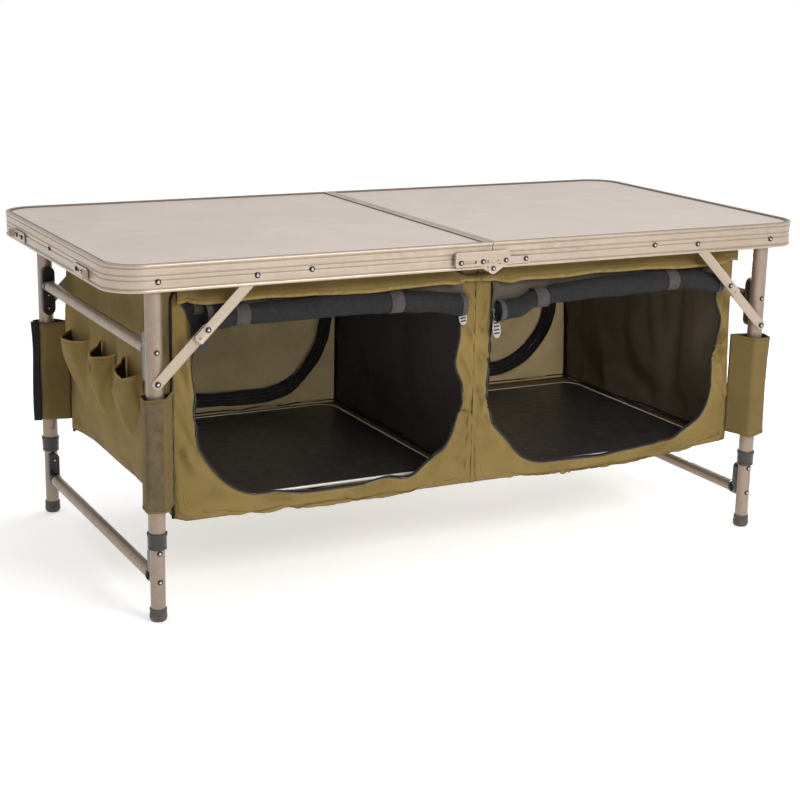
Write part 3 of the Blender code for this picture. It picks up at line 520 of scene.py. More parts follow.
def facing(point, direction):
    """The matrix that puts a form made on Z at a point, with its Z along a direction."""
    return Matrix.Translation(point) @ Vector(direction).to_track_quat("Z", "Y").to_matrix().to_4x4()


def smooth(low, high, x):
    t = max(0.0, min(1.0, (x - low) / (high - low)))
    return t * t * (3 - 2 * t)


def hump(t):
    """1 where t is 0, fading away to either side."""
    return 2.72 ** (-t * t)


def wobble(x, y=0.0, z=0.0, seed=0.0):
    """Smooth noise from -1 to 1."""
    return noise.noise(Vector((x + 17.3 * seed, y - 9.1 * seed, z + 3.7 * seed)))


def piece(name, shape, body, materials, angle=38, bevel=0.0, recalc=True, node=None):
    """Makes a shape an object that rides on a body, and shows it in place of a CAD node if one is given."""
    mesh = shape.mesh(name, recalc) if isinstance(shape, Shape) else shape
    obj = bpy.data.objects.new(name, mesh)
    bpy.context.scene.collection.objects.link(obj)
    for material in materials if isinstance(materials, (list, tuple)) else [materials]:
        mesh.materials.append(material)
    mesh.shade_smooth()
    mesh.set_sharp_from_angle(angle=radians(angle))
    if bevel:
        soften(obj, bevel)
    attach(obj, body)
    if node:
        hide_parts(node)
    return obj


def soften(obj, width, segments=2):
    step = obj.modifiers.new("soft_edges", "BEVEL")
    step.width, step.segments = width, segments
    step.limit_method, step.angle_limit = "ANGLE", radians(40)
    step.harden_normals = False


def carved(shape, cutters):
    """A shape's mesh with other shapes cut from it."""
    scene = bpy.context.scene.collection.objects
    made = [bpy.data.objects.new("carve", s.mesh("carve")) for s in (shape, *cutters)]
    for obj in made:
        scene.link(obj)
    for other in made[1:]:
        step = made[0].modifiers.new("cut", "BOOLEAN")
        step.operation, step.object = "DIFFERENCE", other
    bpy.context.view_layer.update()
    mesh = bpy.data.meshes.new_from_object(made[0].evaluated_get(bpy.context.evaluated_depsgraph_get()))
    for obj in made:
        bpy.data.objects.remove(obj, do_unlink=True)
    return mesh


def flipped(mesh, x, y):
    """A mirrored copy of a mesh, with its faces still outward."""
    copy = mesh.copy()
    copy.transform(Matrix.Diagonal((x, y, 1, 1)))
    if x * y < 0:
        copy.flip_normals()
    return copy


def rivet_head(shape, point, direction, radius=RIVET_RADIUS):
    """A domed head with a small flat rim, seated on a face. Its crown takes the second material, a pale
    metal that is partly a steel crown and partly a painted highlight, the glint on the dark dome.
    """
    profile = [(0, -0.0008), (radius * 0.9, -0.0008), (radius, 0.0001), (radius * 0.98, 0.0006)]
    profile += [(radius * cos(radians(a)), 0.0006 + 0.0018 * sin(radians(a))) for a in (20, 40, 52, 64, 76)]
    profile.append((0, 0.0024))
    point, direction = Vector(point), Vector(direction)
    first = len(shape.faces)
    shape.lathe(profile, facing(point, direction), 24)
    for index in range(first, len(shape.faces)):
        # Faces round the crown take the pale metal, the painted highlight
        corners = [shape.points[i] - point for i in shape.faces[index]]
        if all(p.cross(direction).length < 0.5 * radius and p.dot(direction) > 0.001 for p in corners):
            shape.inks[index] = 1
    return shape


# ---------------------------------------------------------------- top: rails, boards, rivets


def rail_path():
    """Right half of the rail's outermost line, from the seam at the front round to the seam at the rear."""
    x, y, r = HALF_LENGTH, HALF_WIDTH, CORNER_RADIUS
    seam = 0.0006
    points = [(seam, -y), (0.2, -y), (0.4, -y)]
    points += arc((x - r, -(y - r)), r, -90, 0, 20)
    points += [(x, -0.1), (x, 0.1)]
    points += arc((x - r, y - r), r, 0, 90, 20)
    points += [(0.4, y), (0.2, y), (seam, y)]
    return [(a, b, 0) for a, b in points]


def rail_profile():
    """The extrusion as (distance inward, height): lip, bead, grooves, foot bead, ledge and board slot."""
    outside = [(0.0095, -0.0022), (0.0095, -0.0006), (0.0089, 0.0), (0.0046, 0.0), (0.0034, 0.0)]
    outside += [(0.0028, -0.0003), (0.0020, -0.0003), (0.0014, 0.0), (0.0007, -0.0004)]
    outside += [(0.0001, -0.0014), (0.0, -0.0026)]
    outside += [(0.0003, -0.0038), (0.0012, -0.0046), (0.0022, -0.0049), (0.0022, -0.0058), (WALL, -0.0064)]
    outside += [(0.0010, -0.0142)]
    for groove in (0.0155, 0.0222):
        outside += [(WALL, -groove + 0.0010), (0.0023, -groove + 0.0004), (0.0023, -groove - 0.0005)]
        outside += [(WALL, -groove - 0.0012)]
    outside += [(0.0010, -0.0250), (0.0013, -0.0334), (0.0022, -0.0341), (0.0022, -0.0350)]
    outside += [(0.0006, -0.0358), (0.0, -0.0372), (0.0002, -0.0388), (0.0010, -0.0398)]
    inside = [(0.0032, -0.0400), (0.0038, -0.0392), (0.0038, -0.0366), (0.0034, -0.0362)]
    inside += [(0.0034, -0.0088), (0.0105, -0.0088), (0.0105, -0.0070), (0.0046, -0.0070), (0.0046, -0.0022)]
    return [(-inward, TOP + height) for inward, height in outside + inside]


def swept_lip(path, profile, edge):
    """A rail whose lip takes the second material beside the board, on the profile's lines named by edge.
    That material is painted shade: a dark line in place of the shadow between lip and board.
    """
    rail = Shape().sweep(path, profile, (0, 0, 1))
    for index, face in enumerate(rail.faces):
        if len(face) == 4 and index % len(profile) in edge:
            rail.inks[index] = 1
    return rail


def top():
    """Both halves: the bent rail, the straight rail at the seam, the board and its stiffener."""
    # The lip's inner face, chamfer and top (profile lines 0 to 2) take the painted shade
    rail = swept_lip(rail_path(), rail_profile(), (0, 1, 2))
    seam = [(0.0006, -0.0398), (0.0006, -0.0005), (0.0011, 0.0), (0.0034, 0.0), (0.0037, -0.0003)]
    seam += [(0.0043, -0.0003), (0.0046, 0.0), (0.0095, 0.0), (0.0100, -0.0005), (0.0100, -0.0022)]
    seam += [(0.0052, -0.0022), (0.0052, -0.0070), (0.0100, -0.0070), (0.0100, -0.0088)]
    seam += [(0.0026, -0.0088), (0.0026, -0.0398)]
    reach = HALF_WIDTH - 0.0096
    lip = seam.index((0.0100, -0.0005))
    # The seam strip's lip face beside the board takes the same painted shade
    strip = swept_lip([(0, -reach, 0), (0, reach, 0)], [(a, TOP + b) for a, b in seam], (lip,))
    x, y = HALF_LENGTH - BOARD_INSET - BOARD_BEND, HALF_WIDTH - BOARD_INSET - BOARD_BEND
    outline = [(BOARD_START, -(HALF_WIDTH - BOARD_INSET))] + arc((x, -y), BOARD_BEND, -90, 0, 12)
    outline += arc((x, y), BOARD_BEND, 0, 90, 12) + [(BOARD_START, HALF_WIDTH - BOARD_INSET)]
    board = Shape().stack([[(x, y, z) for x, y in outline] for z in (BOARD_HIGH.z - 0.004, BOARD_HIGH.z)])
    channel = [(-0.011, 0.0018), (-0.011, -0.0020), (-0.0095, -0.0020), (-0.0085, 0.0006), (0.0085, 0.0006)]
    channel += [(0.0095, -0.0020), (0.011, -0.0020), (0.011, 0.0018)]
    run = [(PANEL_RIVET[0], way * (HALF_WIDTH - 0.013), BOARD_HIGH.z - 0.006) for way in (-1, 1)]
    stiffener = Shape().sweep(run, channel, (0, 0, 1))
    rail_metals = [RAIL, LIP_PAINTED_SHADE]
    for side, sign in SIDES.items():
        body = f"{side}_top"
        piece(f"{side}_rail", rail.mirrored(sign), body, rail_metals, 30,
              node=f"{side}_frame")
        piece(f"{side}_seam_rail", strip.mirrored(sign), body, rail_metals, 30)
        piece(f"{side}_board", board.mirrored(sign), body, BOARD, 30, 0.0003,
              node=f"{side}_panel")
        piece(f"{side}_board_stiffener", stiffener.mirrored(sign), body, RAIL, 30)
        pins(side, sign)


def pins(side, sign):
    """Rivets, pivots and studs of one half."""
    face, inside = HALF_WIDTH - WALL, HALF_WIDTH - 0.0024
    brace_x = LEG_X - BRACE_REACH
    pivot = [(0, -0.0372), (RIVET_RADIUS, -0.0372), (RIVET_RADIUS, -0.0350), (0.0025, -0.0349)]
    pivot += [(0.0025, -0.0087), (0.0050, -0.0086), (0.0050, 0), (0, 0)]
    link = [(0, -0.0042), (0.0042, -0.0042), (0.0042, -0.0029), (0.0025, -0.0028), (0.0025, 0), (0, 0)]
    left = sign < 0
    studs = [-x for x in LATCH_STUDS] if left else LATCH_STUDS[:1]
    end, end_studs = (sign, 0, 0), (0.148, 0.176) if left else (0.170,)
    heads, shafts = Shape(), Shape()
    for row in ROWS.values():
        out = (0, row, 0)
        for x, z in ((LEG_X, PIVOT_Z), (brace_x, PIVOT_Z), PANEL_RIVET):
            rivet_head(heads, (sign * x, row * face, z), out)
        shafts.lathe(pivot, facing((sign * LEG_X, row * inside, PIVOT_Z), out), 24)
        shafts.lathe(link, facing((sign * brace_x, row * inside, PIVOT_Z), out), 24)
        for x in studs:
            place = (x, row * (LATCH_FACE if left else LEAF_FACE), LATCH_RIVET_Z)
            rivet_head(heads, place, out, 0.0040)
            shafts.lathe(peg(STUD_RADIUS, -0.006, 0), facing(place, out), 16)
        for y in end_studs:
            place = (sign * CATCH_FACE, row * y, CATCH_Z)
            shafts.lathe(peg(STUD_RADIUS, -0.003, 0), facing(place, end), 16)
            rivet_head(heads, place, end, 0.0036)
    rivet_head(heads, (sign * (HALF_LENGTH - WALL), 0.0 if left else 0.085, 0.5095), end, SMALL_RIVET)
    piece(f"{side}_rail_rivets", heads, f"{side}_top", RIVET)
    piece(f"{side}_rail_pins", shafts, f"{side}_top", STEEL)


def fittings():
    """Hinge leaves, latches and end catches keep their CAD shape, with broken edges and a metal finish."""
    for name, node in frame["nodes"].items():
        if any(word in name for word in ("hinge_leaf", "latch_plate", "end_catch")):
            finish(node, RAIL, 0.00035)
        elif name.endswith("snap_button"):
            finish(node, STEEL, 0.0006)
    for row_name, row in ROWS.items():
        for kind, body, x, y, z, radius, material in (
            ("latch_rivet", f"{row_name}_latch", 0.021, 0.3045, LATCH_RIVET_Z, 0.0040, RIVET),
            ("hinge_rivet", "left_top", 0, 0.3032, RAIL_BOTTOM + 0.0005, 0.0040, RIVET),
            ("hinge_dimple", "right_top", 0.0105, 0.3030, 0.4988, 0.0013, BLACK_CHROME),
        ):
            head = rivet_head(Shape(), (x, row * y, z), (0, row, 0), radius)
            piece(f"{row_name}_{kind}", head, body, material)


def finish(node, material, bevel):
    node.data.materials.clear()
    node.data.materials.append(material)
    node.data.shade_smooth()
    node.data.set_sharp_from_angle(angle=radians(35))
    soften(node, bevel)


def handle():
    """A wire bail in two saddle clips, with a moulded grip on its lower run."""
    wire = 0.0031
    x, z = middle("carry_handle").x, HANDLE[1].z - 0.0032
    low, half, bend = HANDLE[0].z + 0.0032, HANDLE[1].y, 0.012
    arm = half - 0.012
    run = [(half, z), (arm + 0.004, z), (arm + 0.0015, z - 0.0008), (arm, z - 0.0035)]
    run += arc((arm - bend, low + bend), bend, 0, -90, 10)
    line = [(x, y, h) for y, h in run] + [(x, -y, h) for y, h in reversed(run)]
    piece("carry_wire", Shape().tube(line, wire, 20), "handle", STEEL, node="carry_handle")
    profile = [(0.0033, -0.030), (0.0050, -0.030), (0.0056, -0.0285)]
    for i in range(-6, 7):
        profile += [(0.0056, i * 0.0042 - 0.0012), (0.0050, i * 0.0042), (0.0056, i * 0.0042 + 0.0012)]
    profile += [(0.0056, 0.0285), (0.0050, 0.030), (0.0033, 0.030)]
    grip = Shape().lathe(profile, facing((x, 0, low), BACKWARD))
    piece("carry_grip", grip, "handle", BLACK_PLASTIC)
    clips, face = Shape(), HALF_LENGTH - WALL + 0.0006
    for y in (-0.0535, 0.0535):
        bow = [(face, y, z + 0.0125), (face, y, z + 0.0055)]
        bow += [(a, y, b) for a, b in arc((x, z), 0.0045, 120, -120, 14)]
        bow += [(face, y, z - 0.0055), (face, y, z - 0.0100)]
        clips.sweep(bow, strip_profile(0.0060, 0.0011), [(a - x, 0, b - z) for a, _, b in bow])
        rivet_head(clips, (face + 0.0006, y, z + 0.0095), (1, 0, 0), 0.0022)
    piece("carry_clips", clips, "right_top", STEEL)


# ---------------------------------------------------------------- legs


def upright(x=LEG_X, y=LEG_Y):
    return Matrix.Translation((x, y, 0))


def pipe(outer, inner, low, high):
    """A tube's closed profile, with its cut ends broken."""
    c = 0.0004
    outside = [(outer - c, low), (outer, low + c), (outer, high - c), (outer - c, high)]
    return [(inner, low), *outside, (inner, high), (inner, low)]


def inward_hole(z):
    """A cutter for the snap button's hole, on the side of the leg that faces its pair."""
    return Shape().lathe(peg(BUTTON_HOLE, 0, 0.02), facing((LEG_X, LEG_Y - 0.004, z), FORWARD), 24)


def upper_leg_mesh():
    tube = Shape().lathe(pipe(UPPER_RADIUS, 0.0113, UPPER_LEG[0].z + 0.001, UPPER_LEG[1].z), upright())
    pivot = Shape().lathe(peg(0.0029, 0, 0.04), facing((LEG_X, LEG_Y - 0.02, PIVOT_Z), BACKWARD), 20)
    return carved(tube, [inward_hole(BUTTON_Z), inward_hole(BUTTON_Z - EXTENSION), pivot])


def collar_shape():
    low, high = UPPER_LEG[0].z, UPPER_LEG[0].z + COLLAR_HEIGHT
    profile = [(0.0114, low), (0.0134, low), (0.0140, low + 0.0006), (0.0140, low + 0.0050)]
    profile += [(0.0137, low + 0.0056), (0.0137, low + 0.0066), (0.0140, low + 0.0072)]
    profile += [(0.0140, high - 0.0056), (0.0149, high - 0.0048), (0.0151, high - 0.0036)]
    profile += [(0.0151, high - 0.0010), (0.0146, high)]
    profile += [(0.0126, high), (0.0126, low + 0.0012), (0.0114, low + 0.0012), (0.0114, low)]
    return Shape().lathe(profile, upright())


def lower_leg_mesh():
    tube = Shape().lathe(pipe(LOWER_RADIUS, 0.0098, LOWER_LEG[0].z, LOWER_LEG[1].z), upright())
    return carved(tube, [inward_hole(BUTTON_Z)])


def foot_shape():
    """A rubber cup: bulbous at the ground, with a shallow waist and a rolled rim."""
    r = 0.0130
    profile = [(0, 0), (0.0078, 0), (0.0100, 0.0004), (0.0118, 0.0020), (r, 0.0052), (r, 0.0090)]
    profile += [(0.0126, 0.0130), (0.0124, 0.0165), (0.0127, 0.0180), (0.0127, 0.0195), (0.0123, FOOT_TOP)]
    profile += [(0.0113, FOOT_TOP), (0.0113, 0.0040), (0, 0.0040)]
    return Shape().lathe(profile, upright())


def bracket_mesh(box, leg_radius, bar_z, slim=1.0):
    """A moulded saddle, which is a long tongue down the leg, and the boss round the bar's end."""
    low, high = box[0].z, box[1].z
    inner, outer = BRACKET_Y
    half = slim * (box[1].x - box[0].x) / 2
    profile = arc((0, high - half), half, 0, 180, 14) + arc((0, low + half), half, 180, 360, 14)
    layers = ((inner, 0.92), (inner + 0.0012, 1.0), (outer, 1.0))
    body = Shape().stack([[(LEG_X + x * scale, y, z) for x, z in profile] for y, scale in layers])
    saddle = Shape().lathe(peg(leg_radius + 0.0003, low - 0.01, high + 0.01), upright())
    boss = [(0.0097, 0), (0.0108, 0.0), (0.0112, 0.0010), (0.0104, 0.0085), (0.0101, 0.0090)]
    boss.append((0.0097, 0.0090))
    ring = Shape().lathe(boss + boss[:1], facing((LEG_X, inner + 0.0004, bar_z), FORWARD))
    return carved(body, [saddle]), ring


def bar_shape(box):
    """A crossbar, cut to meet its brackets."""
    z, radius = (box[0].z + box[1].z) / 2, (box[1].x - box[0].x) / 2
    profile = pipe(radius, radius - 0.0010, box[0].y, box[1].y)
    return Shape().lathe(profile, facing((LEG_X, 0, z), (0, 1, 0)))


def link_shape(start, end, tail, faces, square):
    """A flat link of a brace with a pressed channel in its outer face. Its far end is round, or squared."""
    ahead = (end - start).normalized()
    side = Vector((-ahead.y, ahead.x))
    tip = end + ahead * tail
    inner, outer = faces

    def outline(radius):
        points = []
        for a in (pi / 2 + pi * i / 16 for i in range(17)):
            points.append(start + ahead * (radius * cos(a)) + side * (radius * sin(a)))
        reach = radius - LINK_RADIUS if square else 0
        for a in (-pi / 2 + pi * i / 16 for i in range(17)):
            along = radius * cos(a) * (0.45 if square else 1) + reach
            points.append(tip + ahead * along + side * (radius * sin(a)))
        return points

    layers = ((0.0002, inner), (0, inner + 0.0002), (0, outer - 0.0003))
    layers += ((0.0003, outer), (0.0012, outer), (0.0017, outer - 0.0004))
    return Shape().stack([[(p.x, y, p.y) for p in outline(LINK_RADIUS - cut)] for cut, y in layers])


def legs():
    """Everything below the pivots, made for the right rear corner and mirrored to the other three."""
    upper, collar, lower, foot = upper_leg_mesh(), collar_shape(), lower_leg_mesh(), foot_shape()
    brackets = {
        "upper": bracket_mesh(UPPER_BRACKET, UPPER_RADIUS, (UPPER_BAR[0].z + UPPER_BAR[1].z) / 2),
        "lower": bracket_mesh(LOWER_BRACKET, LOWER_RADIUS, (LOWER_BAR[0].z + LOWER_BAR[1].z) / 2, 0.82),
    }
    rail_rivet, leg_rivet = Vector((LEG_X - BRACE_REACH, PIVOT_Z)), Vector((LEG_X, PIVOT_Z - BRACE_REACH))
    joint = (rail_rivet + leg_rivet) / 2
    dimple = joint + (leg_rivet - rail_rivet).normalized() * 0.0165
    links = {
        "upper": link_shape(rail_rivet, joint, 0.0195, UPPER_LINK_Y, True),
        "lower": link_shape(leg_rivet, joint, 0.0, LOWER_LINK_Y, False),
    }
    screw_y = BRACKET_Y[0] + 0.0002
    stud_place = facing((leg_rivet.x, 0.2913, leg_rivet.y), BACKWARD)
    upper_rivets = Shape().lathe(peg(0.0025, -0.004, 0.0003), stud_place, 20)
    rivet_head(upper_rivets, (leg_rivet.x, 0.2915, leg_rivet.y), BACKWARD)
    rivet_head(upper_rivets, (LEG_X, LEG_Y + UPPER_RADIUS - 0.0004, 0.4035), BACKWARD, 0.0040)
    for lift in (0.012, 0.034):
        rivet_head(upper_rivets, (LEG_X, screw_y, UPPER_BRACKET[0].z + lift), FORWARD, SMALL_RIVET)
    lower_rivets = Shape()
    for z in (0.062, 0.106):
        rivet_head(lower_rivets, (LEG_X, LEG_Y + LOWER_RADIUS - 0.0006, z), BACKWARD, 0.0042)
    rivet_head(lower_rivets, (LEG_X, screw_y, LOWER_BRACKET[1].z - 0.012), FORWARD, SMALL_RIVET)
    link_rivets = rivet_head(Shape(), (joint.x, UPPER_LINK_Y[1], joint.y), BACKWARD, 0.0042)
    link_rivets.lathe(peg(0.0042, 0.2915, UPPER_LINK_Y[0]), facing((joint.x, 0, joint.y), BACKWARD), 20)
    dimples = rivet_head(Shape(), (dimple.x, 0.2967, dimple.y), BACKWARD, 0.0016)
    for side, x in SIDES.items():
        bodies = {"upper": f"{side}_legs", "lower": f"{side}_lower_legs"}
        for row, y in ROWS.items():
            name = f"{side}_{row}"
            piece(f"{name}_upper_tube", flipped(upper, x, y), bodies["upper"], TUBE, 40,
                  node=f"{name}_upper_leg")
            piece(f"{name}_collar", collar.mirrored(x, y), bodies["upper"], COLLAR, 30,
                  0.0002)
            piece(f"{name}_lower_tube", flipped(lower, x, y), bodies["lower"], TUBE, 40,
                  node=f"{name}_lower_leg")
            piece(f"{name}_rubber_foot", foot.mirrored(x, y), bodies["lower"], RUBBER, 40,
                  node=f"{name}_foot")
            for level, heads in (("upper", upper_rivets), ("lower", lower_rivets)):
                piece(f"{name}_{level}_rivets", heads.mirrored(x, y), bodies[level], RIVET)
            for level, (saddle, ring) in brackets.items():
                piece(f"{name}_{level}_saddle", flipped(saddle, x, y), bodies[level], BLACK_PLASTIC,
                      40, 0.0006, node=f"{name}_{level}_bracket")
                piece(f"{name}_{level}_bar_socket", ring.mirrored(x, y), bodies[level], BLACK_PLASTIC,
                      40)
            for level, link in links.items():
                piece(f"{name}_{level}_link", link.mirrored(x, y), f"{name}_{level}_link", LINK,
                      32, node=f"{name}_{level}_brace_link")
            body = f"{name}_upper_link"
            piece(f"{name}_link_rivets", link_rivets.mirrored(x, y), body, RIVET)
            piece(f"{name}_link_dimple", dimples.mirrored(x, y), body, LINK)
        for level, box in (("upper", UPPER_BAR), ("lower", LOWER_BAR)):
            piece(f"{side}_{level}_bar", bar_shape(box).mirrored(x), bodies[level], TUBE, 40,
                  node=f"{side}_{level}_crossbar")


# ---------------------------------------------------------------- the storage unit's cloth


class Cloth:
    """Sheets held where they are sewn or hang, which settle together as cloth that is a little too long."""

    def __init__(self):
        self.shape, self.hold, self.grids = Shape(), [], {}

    def sheet(self, name, across, along, at, hold, toward, ripple=0.0012):
        """at(u, v) is where the sheet is cut to lie. hold(u, v) is 1 where sewn, 0 where free."""
        self.grids[name] = len(self.shape.points), across, along, Vector(toward)

        def laid(u, v):
            point = at(u, v)
            free = ripple * (1 - min(1.0, hold(u, v)))
            x, y, z = (c * 19 for c in point)
            return point + Vector((wobble(x, y, z, 1), wobble(x, y, z, 2), 0.3 * wobble(x, y, z, 3))) * free

        self.shape.grid(across, along, laid)
        self.hold += [hold(i / across, j / along) for j in range(along + 1) for i in range(across + 1)]

    def settle(self, frames=18, slack=0.016, cap=0.0075):
        scene = bpy.context.scene
        obj = bpy.data.objects.new("settling", self.shape.mesh("settling", False))
        scene.collection.objects.link(obj)
        held = obj.vertex_groups.new(name="held")
        for index, weight in enumerate(self.hold):
            if weight > 0:
                held.add([index], min(1.0, weight), "REPLACE")
        step = obj.modifiers.new("cloth", "CLOTH")
        use = step.settings
        use.quality, use.mass, use.air_damping = 6, 0.2, 2.0
        use.tension_stiffness = use.compression_stiffness = 18
        use.shear_stiffness, use.bending_stiffness = 6, 0.35
        use.shrink_min = -slack
        use.vertex_group_mass = "held"
        use.effector_weights.gravity = 0.35
        step.collision_settings.use_collision = False
        step.point_cache.frame_start, step.point_cache.frame_end = 1, frames
        for tick in range(1, frames + 1):
            scene.frame_set(tick)
        settled = obj.evaluated_get(bpy.context.evaluated_depsgraph_get()).to_mesh()
        for index, vertex in enumerate(settled.vertices):
            move = vertex.co - self.shape.points[index]
            if move.length > cap:
                move *= (cap + 0.2 * (move.length - cap)) / move.length
            self.shape.points[index] = self.shape.points[index] + move * (1 - min(1.0, self.hold[index]))
        scene.frame_set(1)
        bpy.data.objects.remove(obj, do_unlink=True)

    def spot(self, name, u, v):
        first, across, along, _ = self.grids[name]
        i, j = min(across - 1, max(0, int(u * across))), min(along - 1, max(0, int(v * along)))
        a, b = u * across - i, v * along - j
        low = first + j * (across + 1) + i
        high = low + across + 1
        p = self.shape.points
        return (p[low] * (1 - a) + p[low + 1] * a) * (1 - b) + (p[high] * (1 - a) + p[high + 1] * a) * b

    def normal(self, name, u, v):
        _, across, along, toward = self.grids[name]
        a, b = 1.0 / across, 1.0 / along
        over = self.spot(name, min(1, u + a), v) - self.spot(name, max(0, u - a), v)
        up = self.spot(name, u, min(1, v + b)) - self.spot(name, u, max(0, v - b))
        turn = over.cross(up).normalized()
        return turn if turn.dot(toward) > 0 else -turn

    def line(self, name, start, end, steps, lift=0.0):
        """Points and outward directions along a straight cut on a sheet, raised off it."""
        shares = [i / steps for i in range(steps + 1)]
        places = [tuple(a + (b - a) * t for a, b in zip(start, end)) for t in shares]
        turns = [self.normal(name, u, v) for u, v in places]
        return [self.spot(name, u, v) + n * lift for (u, v), n in zip(places, turns)], turns

    def cut(self, name):
        """One settled sheet as a shape of its own."""
        first, across, along, _ = self.grids[name]
        points = self.shape.points[first : first + (across + 1) * (along + 1)]
        return Shape().add(points, quads(across, along))


def soft(name, shape, body, material, thick=CLOTH, angle=60, recalc=False, node=None):
    """A piece of the storage unit."""
    obj = piece(name, shape, body, material, angle, recalc=recalc)
    if thick:
        step = obj.modifiers.new("thickness", "SOLIDIFY")
        step.thickness, step.offset = thick, 0.0
    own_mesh(obj)
    if node:
        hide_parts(node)
    return obj


def trim(name, shape, body, material, angle=40, node=None):
    """Tape, teeth, hems and binding: closed forms that need no thickness."""
    return soft(name, shape, body, material, 0, angle, True, node)


def sewing(name, shape, body, material=THREAD):
    return soft(name, shape, body, material, 0)


def line_inside(obj, cloth, name):
    """Gives the face of a two-layer cloth that looks inward the piece's second material."""
    step, faces = obj.modifiers["thickness"], obj.data.polygons
    _, across, along, toward = cloth.grids[name]
    outside = faces[(along // 2) * across + across // 2].normal.dot(toward) > 0
    for face in faces:
        face.material_index = 0 if outside else 1
    step.material_offset = 1 if outside else -1
    step.material_offset_rim = 0


def band(shape, path, turns, width, thickness, shift=0.0):
    """Tape laid along a path, facing outward. shift moves it sideways on the cloth."""
    return shape.sweep(path, [(a + shift, b) for a, b in strip_profile(width, thickness)], turns)


def stitches(shape, path, turns, pitch=0.0044, length=0.0030, radius=0.00034):
    """Dashes of thread along a path."""
    travelled, ahead_at = 0.0, 0.0
    for a, b, n in zip(path, path[1:], turns):
        span = (b - a).length
        if span < 1e-9:
            continue
        ahead = (b - a) / span
        side = ahead.cross(n).normalized()
        while ahead_at < travelled + span:
            c = a + ahead * (ahead_at - travelled)
            half, sunk, crown = ahead * length / 2, n * radius * 0.6, c + n * radius
            points = [c - half - sunk, crown - side * radius, crown + side * radius, c + half - sunk]
            shape.add(points, [(0, 1, 2), (1, 3, 2)])
            ahead_at += pitch
        travelled += span
    return shape


def coil(shape, path, turns, radius=0.0009, pitch=0.0022):
    """Zip teeth: a ribbed rod along a path."""
    line, rises = [path[0]], [turns[0]]
    for a, b, n in zip(path, path[1:], turns):
        count = max(1, round((b - a).length / (pitch / 2)))
        for i in range(1, count + 1):
            line.append(a + (b - a) * i / count)
            rises.append(n)
    rings = [ring_profile(radius * (1.0 if i % 2 else 0.72), 6) for i in range(len(line))]
    return shape.sweep(line, rings, rises)


def pull(shape, top, down, out, length=0.036, ink=0):
    """A plain zip pull: slider, ring and a tapered tab with four slots on it. The slots are thin bars of the
    second material laid on the tab, painted shade in place of pressed slots.
    """
    down, out = Vector(down).normalized(), Vector(out).normalized()
    side = down.cross(out).normalized()
    out = side.cross(down)
    frame_of = Matrix((side, -down, out)).transposed().to_4x4()
    frame_of.translation = Vector(top)

    def block(half, y0, y1, z0, z1, ink=ink):
        corners = [(x, y, z) for z in (z0, z1) for y in (y0, y1) for x in (-half, half)]
        faces = [(0, 2, 3, 1), (4, 5, 7, 6), (0, 1, 5, 4), (2, 6, 7, 3), (0, 4, 6, 2), (1, 3, 7, 5)]
        shape.add([frame_of @ Vector(c) for c in corners], faces, ink)

    block(0.0032, -0.004, 0.004, 0.0002, 0.0020)
    block(0.0012, -0.003, 0.003, 0.0020, 0.0040)
    ring = [(0.0034 * sin(t), -0.0065 + 0.0042 * cos(t), 0.0038) for t in (tau * i / 20 for i in range(20))]
    shape.tube([frame_of @ Vector(p) for p in ring], 0.0007, 8, True, ink)
    tab = -0.0092
    widths = ((0, 0.0026), (0.10, 0.0040), (0.30, 0.0062), (0.55, 0.0074), (0.78, 0.0070))
    widths += ((0.92, 0.0050), (1, 0.0022))
    outline = [(half, tab - share * length) for share, half in widths]
    outline += [(-a, b) for a, b in reversed(outline)]
    shape.stack([[frame_of @ Vector((a, b, z)) for a, b in outline] for z in (0.0030, 0.0042)], ink)
    # Painted shade: the slots are thin dark bars on the tab's face, not pressed in
    for share in (0.30, 0.46, 0.62, 0.78):
        y = tab - share * length
        block(0.0048, y - 0.0011, y + 0.0011, 0.0042, 0.0046, 1)


# Each doorway: its sides, its floor at either end, its two corners, and the pulls in the cloth that push the
# outline out (or in) by so much round a place.
DOORS = {
    "left": dict(
        sides=(-0.463, -0.0300),
        floor=(0.1735, 0.1740),
        corners=(0.105, 0.085),
        pulls=(
            (-0.463, 0.329, 0.045, -0.0045),
            (-0.343, 0.174, 0.055, -0.0045),
            (-0.161, 0.174, 0.040, -0.0040),
            (-0.118, 0.174, 0.034, 0.0040),
            (-0.078, 0.186, 0.036, -0.0060),
            (-0.030, 0.296, 0.036, 0.0050),
            (-0.030, 0.334, 0.028, -0.0035),
            (-0.030, 0.385, 0.036, 0.0045),
        ),
    ),
    "right": dict(
        sides=(0.0262, 0.4625),
        floor=(0.1668, 0.1758),
        corners=(0.105, 0.085),
        pulls=(
            (0.026, 0.322, 0.045, 0.0020),
            (0.058, 0.205, 0.045, -0.0075),
            (0.235, 0.170, 0.040, 0.0025),
            (0.412, 0.186, 0.045, -0.0080),
            (0.463, 0.310, 0.036, -0.0020),
            (0.463, 0.366, 0.042, 0.0125),
            (0.463, 0.420, 0.030, -0.0020),
        ),
    ),
}
DOOR_STEP = 0.005
PANEL_TOP = STORE_HIGH.z + 0.0015
OUTER_Y = STORE_LOW.y - FABRIC_FACE
ROLL_Z = (ROLL_LOW.z + ROLL_HIGH.z) / 2
ROLL_Y = (ROLL_LOW.y + ROLL_HIGH.y) / 2
HEAD_Y = OUTER_Y - 0.0018


def outward(side, z, y=-1.0):
    """X of a side's outer wall: the right one spreads at its foot, and the left one bellies at its rear."""
    if side == "right":
        spread = 0.0090 * (1 - smooth(0.15, 0.40, z))
    else:
        belly = 0.0055 * smooth(-0.05, 0.26, y) * hump((z - 0.355) / 0.085)
        spread = 0.0072 * (1 - smooth(0.470, 0.487, z)) + belly
    return SIDES[side] * (STORE_HIGH.x + spread)


def inner(side):
    return SIDES[side] * 0.0004


